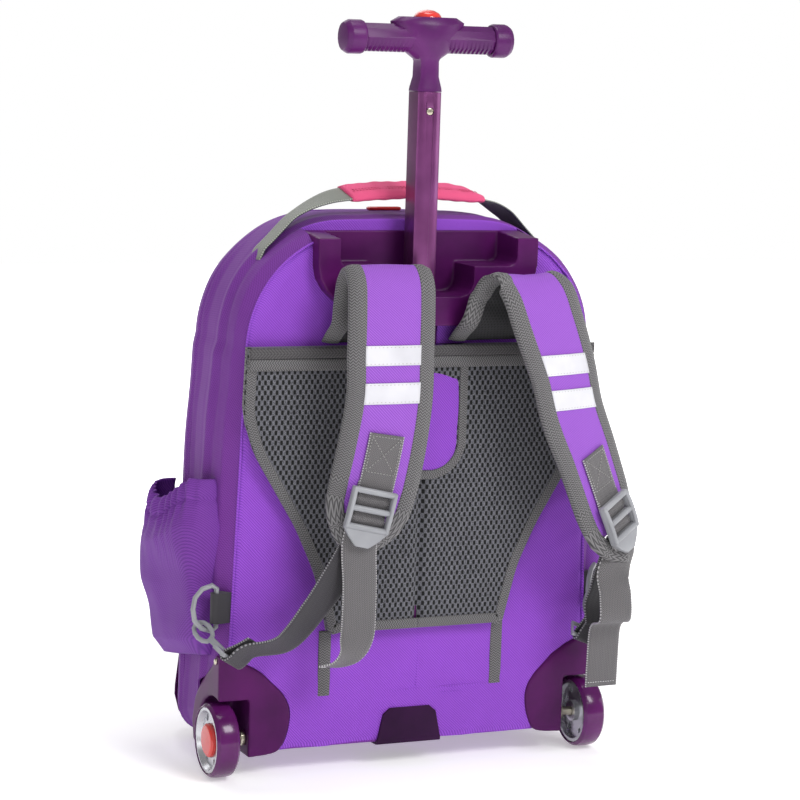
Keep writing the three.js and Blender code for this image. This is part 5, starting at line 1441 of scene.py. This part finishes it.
# %% Black strap mesh
black_mesh, tree = new_material("black_strap_mesh")
hole = holes(tree, 3.0, 2.4, 0.2, 0.6)
colour = node(tree, "ShaderNodeMix", {"data_type": "RGBA", 6: (*hex_linear("#252427"), 1),
                                      7: (*hex_linear("#0D0D0F"), 1)}, {0: hole})
height = node(tree, "ShaderNodeMath", {"operation": "SUBTRACT", 0: 1.0}, {1: hole})
relief = node(tree, "ShaderNodeBump", {"Distance": 0.0006, "Strength": 0.7}, {"Height": height})
shader = node(tree, "ShaderNodeBsdfPrincipled", {"Roughness": 0.8},
              {"Base Color": colour.outputs[2], "Normal": relief})
node(tree, "ShaderNodeOutputMaterial", links={"Surface": shader})
print("strap mesh ready")

# %% [markdown]
# The strap is one swept body with two finishes: twill on its outer face and mesh on the inner
# one. A body in one piece shows no gap when the strap turns over at its top.

# %% The padded straps
strap_data = {}
for side in ("left", "right"):
    path, wide, width, thick = strap_path(side)
    half = STRAP_W / 2 - 1.0
    section = soft_section(half, STRAP_T - 0.6, 1.6)
    scale = [(w / (STRAP_W / 2), t) for w, t in zip(width, thick)]
    count = len(section) // 2
    marks = [1] * count + [0] * count
    strap = sweep(f"strap_{side}_padded", path, wide, section, [strap_twill, black_mesh], scale=scale,
                  indices=marks, slot="violet_fabric")
    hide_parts(f"shoulder_strap_{side}")
    strap_data[side] = (path, wide, width, thick)

# %% [markdown]
# The binding: a tape folded round each long edge. Its section is a C that wraps the foam, so
# one sweep shows it from both faces.

# %% Strap bindings
BIND_W = 12.5


def wrap_section(sign, half, wide_mm, thick, skin=1.0):
    """A C round the strap's edge, at the side that sign gives."""
    outer = []
    inner = []
    for k in range(9):
        t = k / 8
        u = half - wide_mm + wide_mm * t
        lift = 1 - (1 - min(1.0, (half - u) / 7.0)) ** 2
        outer.append((sign * (u + skin * (t > 0.99)), -(0.8 + (thick / 2 - 0.8) * lift + skin + 0.4)))
        inner.append((sign * (u - 0.6), -(0.2 + (thick / 2 - 1.2) * lift)))
    face_outer = [(u, -w) for u, w in reversed(outer)]
    face_inner = [(u, -w) for u, w in reversed(inner)]
    return outer + [(sign * (half + skin + 0.8), 0.0)] + face_outer + list(reversed(inner + face_inner))


for side in ("left", "right"):
    path, wide, width, thick = strap_data[side]
    for edge, sign in (("outer", -1), ("inner", 1)):
        section = wrap_section(sign, STRAP_W / 2 - 1.0, BIND_W, STRAP_T - 0.6)
        shift = [(1.0, share) for share in thick]
        offset = STRAP_W / 2 - width
        _, across_unit, _ = frames_along(path, wide)
        moved = path - across_unit * (sign * offset)[:, None]
        binding = sweep(f"strap_{side}_binding_{edge}", moved, wide, section, [knit_binding], scale=shift,
                        slot="grey_webbing")
        band_sheet(binding, 2 * BIND_W + 8, length_of(moved))
print("straps done")

# %% [markdown]
# Two white reflective bands cross each strap between its bindings. Each is a thin tape that
# follows the crowned face and is sewn along both its edges.

# %% Reflective bands
def face_point(side, index, u, lift=0.0):
    """A point on the strap's outer face: index counts along the path, u runs across."""
    path, _, width, thick = strap_data[side]
    _, across_unit, out = strap_units[side]
    half = STRAP_W / 2 - 1.0
    share = u / half
    rise = ((STRAP_T - 0.6) / 2 + 1.6 * (1 - share * share)) * thick[index]
    return path[index] + across_unit[index] * u * width[index] / (STRAP_W / 2) + out[index] * (rise + lift)


strap_units = {side: frames_along(strap_data[side][0], strap_data[side][1]) for side in ("left", "right")}


def index_at(side, z_value):
    """The station on the hanging part of the strap that is at this height."""
    path = strap_data[side][0]
    crest = int(np.argmax(path[:, 2]))
    return crest + int(np.argmin(np.abs(path[crest:, 2] - z_value)))


def across_tape(name, side, z_top, z_low, half, material, thick=0.5, slot="grey_webbing"):
    """A level tape on the hanging part of the strap, between two heights."""
    path = strap_data[side][0]
    first = int(np.argmax(path[:, 2])) + 4
    columns = []
    heights = np.linspace(z_top, z_low, 12)
    for u in np.linspace(-half, half, 25):
        line = np.array([face_point(side, k, u, 0.5) for k in range(first, len(path) - 12)])
        columns.append([[np.interp(-z, -line[:, 2],
                                   line[:, axis]) for axis in range(3)] for z in heights])
    grid = np.array(columns).transpose(1, 0, 2)
    return cloth(name, grid, thick, material, slot=slot), grid


BAND_HALF_STRAP = 24.0
for side, bands in (("left", ((362.5, 346.5), (332.5, 315.5))),
                    ("right", ((352.0, 335.0), (323.0, 306.0)))):
    for number, (z_top, z_low) in enumerate(bands, 1):
        piece, grid = across_tape(f"strap_{side}_reflective_{number}", side, z_top, z_low,
                                  BAND_HALF_STRAP,
                                  reflective_tape)
        _, _, out = strap_units[side]
        normal = out[index_at(side, (z_top + z_low) / 2)]
        for row_index, label in ((1, "top"), (-2, "low")):
            stitches(f"strap_{side}_stitch_{number}_{label}", grid[row_index] + normal * 0.1, normal,
                     grey_thread,
                     3.4, radius=0.4)

# %% [markdown]
# ## Webbing and hardware of the straps
# A webbing patch with a boxed cross stitch ends each strap. Below it hangs the ladder lock;
# the load web goes from there to the snap hook and the tail hangs free.

# %% Webbing patches
WEB_W, WEB_T = 30.0, 1.8


def patch_path(side, from_mm, to_mm, lift, count=30):
    path = strap_data[side][0]
    _, across_unit, out = strap_units[side]
    step = np.concatenate([np.cumsum(np.linalg.norm(np.diff(path, axis=0), axis=1)[::-1])[::-1], [0]])
    rows_at = np.linspace(from_mm, to_mm, count)
    points, normals, sides = [], [], []
    for value in rows_at:
        k = int(np.argmin(np.abs(step - value)))
        points.append(face_point(side, k, 0.0, lift))
        normals.append(out[k])
        sides.append(across_unit[k])
    smooth_points = even(np.array(points), count)
    return smooth_points, np.array(sides), np.array(normals)


print("patch runs", round(length_of(patch_path("left", 70.0, 5.0, 1.3)[0])), "mm")

# %% [markdown]
# A load-bearing patch is sewn with a box and a cross in it. The box and one line of the cross
# are sewn in one run, and the other line is a second one.

# %% Boxed cross stitch


def box_stitch(name, path, sides, normals, half, first, last, thread):
    """A rectangle of stitches with a cross in it, between two stations of a patch."""
    box_and_line = [(first, -half), (first, half), (last, half), (last, -half), (first, -half),
                    (last, half)]
    other_line = [(first, half), (last, -half)]
    for number, run in enumerate((box_and_line, other_line)):
        line = []
        for (k0, u0), (k1, u1) in zip(run[:-1], run[1:]):
            for t in np.linspace(0, 1, 12, endpoint=False):
                k = mix(k0, k1, t)
                low_k = min(int(k), len(path) - 2)
                share = k - low_k
                spot = path[low_k] * (1 - share) + path[low_k + 1] * share
                line.append(spot + sides[low_k] * mix(u0, u1, t) + normals[low_k] * 0.95)
        stitches(f"{name}_{number}", line, normals[(first + last) // 2], thread, 2.6)


for side in ("left", "right"):
    path, sides, normals = patch_path(side, 70.0, 5.0, 1.3)
    patch = sweep(f"adjuster_web_{side}_finished", path, sides, band_section(WEB_W, 1.4, 9),
                  [grey_webbing],
                  slot="grey_webbing")
    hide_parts(f"adjuster_web_{side}")
    band_sheet(patch, WEB_W, length_of(path))
    box_stitch(f"patch_stitch_{side}", path, sides, normals, 12.5, 1, 14, grey_thread)

# %% [markdown]
# The ladder lock is moulded acetal: a frame with two windows and a rounded tongue. Its plain
# copy gets rounded edges; raised side rails and round bars are added as the real one has.

# %% Ladder locks
BUCKLE_SEAT, BAR_RISE = 3.2, 4.6
for side in ("left", "right"):
    place = strap_frame(side)
    through = [at(place, 0, v, w) for v,
               w in ((-30, 2.4), (-24, 2.6), (-17, 5.0), (-9, 2.8), (-1, 5.4), (4, 3.6),
                                              (9, 1.6), (14, 0.8))]
    through = even(curve_through(through, 60), 60)
    inner_web = sweep(f"lock_web_{side}", through, np.tile(place[0], (60, 1)), band_section(29.0, 1.2, 9),
                      [grey_webbing], slot="grey_webbing")
    band_sheet(inner_web, 29.0, length_of(through))
    softened(f"ladder_lock_{side}", 0.7, grey_acetal)
    for sign in (-1, 1):
        line = [at(place, sign * 17.0, v,
                   BUCKLE_SEAT + BAR_RISE + 1.6 * math.sin(math.pi * (v + 26) / 34) ** 0.6)
                for v in np.linspace(-25.5, 7.5, 24)]
        sides = np.tile(place[0], (24, 1))
        sweep(f"ladder_rail_{side}_{'left' if sign < 0 else 'right'}", line, sides,
              band_section(4.2, 3.4, 5, 0.3), [grey_acetal], slot="grey_plastic")
    for number, v in enumerate((-24.0, -9.0, 6.0)):
        rod(f"ladder_bar_{side}_{number}", at(place, -18, v, BUCKLE_SEAT + BAR_RISE),
            at(place, 18, v, BUCKLE_SEAT + BAR_RISE),
            2.5, grey_acetal)

# %% [markdown]
# The load webs turn round the hooks' bars and lie back on themselves. The tails keep the
# curl of webbing that was folded once: the left one turns towards the wearer at its end,
# the right one bulges out, doubles back and hangs.

# %% Load webs and tails
HOOK_BAR_AT, HOOK_WIRE = 47.0, 2.0
HANGING = {
    "left": {
        "eye": (-188, 8.5, 129), "bar": (-168, -31, 105), "wide": (0.62, 0.69, -0.38), "lean": -12,
        "web": [(-76, -49, 194), (-88, -49, 176), (-106, -46, 149), (-129, -42, 122)],
        "tail": [(-72.5, -57, 170), (-72, -56, 145), (-72.5, -55, 126), (-77, -54, 112), (-88, -51, 103),
                 (-101, -46, 101)],
        "turns": [(1, 0, 0), (1, 0, 0), (1, 0, 0), (0.9, 0.35, -0.25), (0.6, 0.75, -0.3),
                  (0.5, 0.85, -0.2)],
    },
    "right": {
        "eye": (164.6, -4.6, 138.6), "bar": (151.6, -32.3, 105.6), "wide": (0.95, 0.3, 0), "lean": 40,
        "web": [(161, -41, 171), (158, -40, 150), (156, -38, 135)],
        "tail": [(158, -58, 166), (157, -65, 150), (155, -71, 134), (155, -68, 127), (155.5, -56, 123),
                 (155.5, -51, 114), (155.8, -49, 90), (156, -48, 67)],
        "turns": [(1, 0, 0)] * 8,
    },
}


print("web rows", {side: len(table["web"]) for side, table in HANGING.items()})

# %% [markdown]
# The webs turn round the hooks' bars. A hook's axes come from its eye, its bar and its width,
# and points beside it are then given along it, across it and out of it.

# %% Places on the hooks


def hook_frame(eye, bar, wide):
    eye, bar, wide = (np.array(v, float) for v in (eye, bar, wide))
    along = (bar - eye) / np.linalg.norm(bar - eye)
    wide = wide - along * (wide @ along)
    wide /= np.linalg.norm(wide)
    return along, wide, np.cross(along, wide), eye


def in_hook(hook, u, v, w):
    along, wide, out, eye = hook
    return eye + along * u + wide * v + out * w


def smooth_band(points, wides, count):
    """Dense rows through a few stations, with the width directions turned along with them."""
    rows = curve_through(np.concatenate([np.array(points, float), np.array(wides, float)], axis=1),
                         count * 3)
    rows = even(rows, count)
    return rows[:, :3], rows[:, 3:]


print("hook frames ready")

# %% [markdown]
# Webbing under load is straight, and free webbing keeps its curl. Both are swept through
# points that were set against the photo, with their direction given at each point.

# %% The webs and the tails
for side in ("left", "right"):
    row_data = HANGING[side]
    end = strap_frame(side)
    hook = hook_frame(row_data["eye"], row_data["bar"], row_data["wide"])
    turn = HOOK_WIRE + 0.3 + WEB_T / 2 + 0.3
    lean = math.radians(row_data["lean"])

    def spot(shift, along_mm, hook=hook, lean=lean, turn=turn):
        return in_hook(hook, HOOK_BAR_AT + turn * shift * math.cos(lean) - along_mm * math.sin(lean), 0,
                       turn * shift * math.sin(lean) + along_mm * math.cos(lean))

    middle = [np.array(p, float) for p in row_data["web"]]
    points = [at(end, 0, 5, -2.6)] + middle + [spot(1, 16), spot(1, 4)]
    for degrees in (0, -45, -90, -135, -180):
        b = lean + math.radians(degrees)
        points.append(in_hook(hook, HOOK_BAR_AT + turn * math.cos(b), 0, turn * math.sin(b)))
    points += [spot(-1, 4), spot(-0.3, 13), spot(0.2, 24)]
    bend = len(row_data["web"]) + 1
    wides = [mix(end[0], hook[1], min(1.0, k / bend)) for k in range(len(points))]
    path, sides = smooth_band(points, wides, 150)
    web = sweep(f"load_web_{side}_finished", path, sides, band_section(WEB_W, 1.5, 9), [webbing_in_painted_shade],
                slot="grey_webbing")
    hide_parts(f"load_web_{side}")
    band_sheet(web, WEB_W, length_of(path))

    seat = BUCKLE_SEAT - 0.42 - WEB_T / 2
    points = [at(end, 0, 3, seat),
              at(end, 0, 22, seat * 0.4)] + [np.array(p, float) for p in row_data["tail"]]
    wides = [end[0], end[0]] + [np.array(v, float) for v in row_data["turns"]]
    path, sides = smooth_band(points, wides, 120)
    tail = sweep(f"strap_tail_{side}_finished", path, sides, band_section(WEB_W, 1.5, 9), [grey_webbing],
                 slot="grey_webbing")
    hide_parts(f"strap_tail_{side}")
    band_sheet(tail, WEB_W, length_of(path))
    hem = [path[-4] + sides[-4] * u for u in np.linspace(-13, 13, 14)]
    _, _, out = frames_along(path, sides)
    stitches(f"tail_hem_{side}", [p + out[-4] * 0.9 for p in hem], out[-4], white_thread, 2.2)

# %% [markdown]
# ## Snap hooks and rings
# A hook is cast in one piece: an eye for the ring, a swivel collar and a wide loop for the
# web. The rings are bent wire; their imported shape is kept.

# %% Snap hooks, rings and their tabs
for side in ("left", "right"):
    softened(f"snap_hook_{side}", 0.35, grey_acetal)
    softened(f"d_ring_{side}", 0.0, grey_acetal, angle=40)
    tab = softened(f"ring_tab_{side}", 0.5, webbing_in_painted_shade)
print("straps' webbing done")

# %% [markdown]
# ## Side pockets
# Each side pocket is a bag of the same twill, gathered by elastic at its hem, full in the
# middle and sewn to the side along its base. The gathers fade towards the base.

# %% Side pockets
SIDE_ROWS = np.array([
    (0.0, 0.3, 0.0, 0.86), (0.1, 0.62, 0.1, 0.95), (0.45, 0.9, 0.2, 1.0), (0.74, 1.0, 0.5, 1.0),
    (0.9, 0.86, 1.0, 0.96), (1.0, 0.72, 1.0, 0.9),
])
SIDE_REACH, SIDE_TOP, SIDE_LOW, SIDE_REAR, SIDE_FRONT = 34.0, 246.0, 84.0, 8.0, 142.0


def pocket_grid(sign, lines=74, columns=150):
    grid = []
    wall = BODY_HALF * 0.97 - 4.0
    for up in np.linspace(0, 1, lines):
        reach, gather, length = (float(np.interp(up, SIDE_ROWS[:, 0],
                                                 SIDE_ROWS[:, k])) for k in (1, 2, 3))
        half = (SIDE_FRONT - SIDE_REAR) / 2 * length
        a = np.linspace(0.5 * math.pi, 1.5 * math.pi, columns)
        outwards = -np.cos(a)
        y = (SIDE_REAR + SIDE_FRONT) / 2 + half * np.sin(a) * (1 + 0.08 * np.cos(2 * a))
        ripple = 2.8 * gather ** 3 * np.cos(26 * a + 2.2 * np.sin(5 * a + 1)) * outwards
        sway = 2.2 * np.sin(2.4 * a + 7 * up) * outwards * math.sin(math.pi * up)
        bulge = SIDE_REACH * reach + ripple + sway
        x = wall + np.sqrt(np.maximum(outwards, 0)) * (bulge + 4.0)
        front = (y - SIDE_REAR) / (SIDE_FRONT - SIDE_REAR)
        slope = mix(18, -8, front) * (1 - up) - up * 26 * np.sin(math.pi * np.clip(1.15 - front, 0, 1))
        z = mix(SIDE_LOW, SIDE_TOP, up) + slope
        grid.append(np.stack([sign * x, y, z], axis=1))
    return np.array(grid)


print("pocket grid", pocket_grid(1).shape)

# %% [markdown]
# Elastic at the hem gathers the cloth in folds that fade downwards. The grid is pushed in and
# out by waves that fade at the base, and the hem swells above the sunk line of its seam.

# %% The pockets with their folds
for side, sign in SIDES.items():
    grid = pocket_grid(sign)
    up = np.linspace(0, 1, grid.shape[0])[:, None]
    lean = grid[:, :, 2] + 0.7 * grid[:, :, 1]
    folds = 2.6 * np.sin(lean / 17.0 + 1.2 * waves(grid, 80, 53)) * smooth_step(0.05, 0.3, up)
    low_folds = 1.2 * waves(grid * np.array([1.0, 1.0, 0.4]), 40, 51)
    folds = folds * (1 - smooth_step(0.7, 0.84, up)) + low_folds
    relief = folds * np.sin(math.pi * np.clip(up * 1.05, 0, 1)) ** 0.5
    relief = relief + 1.2 * np.exp(-((up - 0.96) / 0.03) ** 2) - 1.6 * np.exp(-((up - 0.885) / 0.014) ** 2)
    pocket = cloth(f"side_pocket_{side}_finished", grid, CLOTH, twill_in_painted_shade, flip=(sign > 0),
                   relief=relief, slot="violet_fabric")
    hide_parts(f"side_pocket_{side}")

# %% [markdown]
# ## Front pocket
# The pocket on the far face is seen only as a silhouette, so it is finished plainly: a
# rounded box of cloth.

# %% Front pocket
softened("front_pocket", 3.0, twill_in_painted_shade, segments=4)

# %% [markdown]
# ## Carry handle
# Grey-green webbing arches over the top and a pink padded sleeve is wrapped round it, sewn
# shut along its length. The red pull of the main zip lies below.

# %% Carry handle
HANDLE_RUN = [(-1.08, -0.24), (-1, 0), (-0.84, 0.4), (-0.64, 0.74), (-0.42, 0.92), (0, 1), (0.42, 0.94),
              (0.64, 0.78), (0.84, 0.42), (1, 0), (1.08, -0.24)]
HANDLE_HALF, HANDLE_Y, HANDLE_SKEW = 124.0, 50.0, 12.0
HANDLE_END_Z, HANDLE_TOP, HANDLE_TILT = 441.0, 479.0, 0.35


def handle_path(first, last, count):
    points = [(HANDLE_HALF * x, HANDLE_Y + HANDLE_SKEW * x, mix(HANDLE_END_Z, HANDLE_TOP, up))
              for x, up in HANDLE_RUN]
    fine = even(curve_through(points, 240), 241)
    inside = (fine[:, 0] >= first) & (fine[:, 0] <= last)
    return even(fine[inside], count)


def handle_tilt(path):
    """The band leans to the viewer, and turns its underside to them at its right end."""
    lean = HANDLE_TILT - 0.62 * smooth_step(52, 100, path[:, 0]) - 0.42 * smooth_step(50, 110, -path[:, 0])
    return np.stack([np.zeros(len(path)), np.ones(len(path)), lean], axis=1)


def cloth_top(x, y):
    """The height of the bag's cloth at a place near its top edge."""
    outline = bag_outline(y, 800)
    upper = outline[outline[:, 1] > 300]
    order = np.argsort(upper[:, 0])
    return float(np.interp(x, upper[order, 0], upper[order, 1]))


web_path = handle_path(-136.0, 136.0, 110)
for point in web_path:
    seat = cloth_top(point[0], point[1]) + mix(1.6, -2.6, smooth_step(129, 134, abs(point[0])))
    point[2] = mix(point[2], seat, smooth_step(100, 126, abs(point[0])))
web_section = band_section(25.0, 1.8, 9)
web_marks = [0] * 10 + [1] * (len(web_section) - 10)
carry_web = sweep("carry_handle_web_finished", web_path, handle_tilt(web_path), web_section,
                  [handle_webbing, underside_in_painted_shade], indices=web_marks, slot="grey_webbing")
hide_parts("carry_handle_web")
band_sheet(carry_web, 25.0, length_of(web_path))
print("handle web runs", round(length_of(web_path)), "mm")

# %% [markdown]
# The sleeve is a padded tube of pink twill round the webbing, so it is swept along the same
# arch with a soft section. Small wrinkles show where the seam pulls it in.

# %% The pink sleeve
sleeve_path = handle_path(-53.3, 74.4, 70)
sleeve_wide = handle_tilt(sleeve_path)
pull = 1 - smooth_step(0, 5, np.minimum(np.arange(70), 69 - np.arange(70)))
wrinkle = 0.05 * np.sin(np.arange(70) * 0.83) + 0.05 * np.sin(np.arange(70) * 0.37 + 1.0)
sleeve = sweep("carry_sleeve_finished", sleeve_path, sleeve_wide, soft_section(15.0, 7.6, 1.0),
               [pink_twill],
               scale=[(1 + 0.25 * w - 0.04 * e, 1 + w - 0.3 * e) for w, e in zip(wrinkle, pull)],
               slot="pink_fabric")
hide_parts("carry_handle_pad")
_, across_unit, out = frames_along(sleeve_path, sleeve_wide)
for number, u in enumerate((-6.0, -3.2), 1):
    face = sleeve_path + across_unit * u
    for name, turn_out in (("face", 1.0), ("under", -1.0)):
        lift = 3.8 + (1.0 if turn_out > 0 else 0.0)
        stitches(f"sleeve_stitch_{name}_{number}", face[2:-2] + out[2:-2] * turn_out * lift,
                 out[2:-2] * turn_out,
                 pink_thread, 3.0, radius=0.4, slot="pink_fabric")
print("sleeve faces", len(sleeve.data.polygons))

# %% [markdown]
# The pull is a small glossy moulding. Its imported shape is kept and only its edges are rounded.

# %% The zip pull
softened("zip_pull", 1.5, red_abs)

# %% [markdown]
# ## Hard parts
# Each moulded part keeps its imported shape. Its loose triangles are joined, flats are
# dissolved, and the sharp edges get the small radius that a mould leaves.

# %% Trolley and grip
rounded("trolley_housing", plum_abs, 1.0, 8)
softened("guide_tube", 0.4, plum_abs)
softened("lower_tube", 0.3, tube_lacquer)
softened("upper_tube", 0.35, tube_lacquer)
softened("tube_screw", 0.15, plated_steel)
softened("grip_body", 0.5, plum_grip, angle=35)
softened("grip_cap_left", 0.6, plum_grip)
softened("grip_cap_right", 0.6, plum_grip)
softened("release_button", 0.9, red_abs)

# %% [markdown]
# The wheels: a polyurethane tyre on a silver-lacquered spoked hub with a red cap, in a
# moulded housing that is riveted to the bag.

# %% Wheels, housings and feet
for side in ("left", "right"):
    mould = housing_cutter(SIDES[side], 0.0)
    rounded(f"wheel_housing_{side}", plum_abs, 0.8, 24, mould)
    softened(f"housing_rivet_{side}", 0.3, plated_steel)
    softened(f"wheel_axle_{side}", 0.3, plated_steel)
    softened(f"tyre_{side}", 0.8, plum_tyre, segments=4)
    softened(f"wheel_hub_{side}", 0.5, silver_lacquer)
    softened(f"wheel_cap_{side}", 0.5, red_abs)
    softened(f"front_foot_{side}", 1.0, plum_abs)
softened("skid_plate", 0.6, dark_abs)
print("running gear done")

# %% [markdown]
# Below the mesh pad a short strip of knitted tape runs down each side. It is a flat band,
# swept along a straight line.

# %% Binding strips
for side, sign in SIDES.items():
    strip = sweep(f"binding_strip_{side}_finished",
                  [(sign * 78.5, -1.3, z) for z in np.linspace(119, 64, 30)],
                  np.tile([1.0, 0.0, 0.0], (30, 1)), band_section(11.0, 1.2, 7, 0.3), [knit_binding],
                  slot="grey_webbing")
    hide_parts(f"binding_strip_{side}")
    band_sheet(strip, 11.0, 55.0)
print("hard parts done")
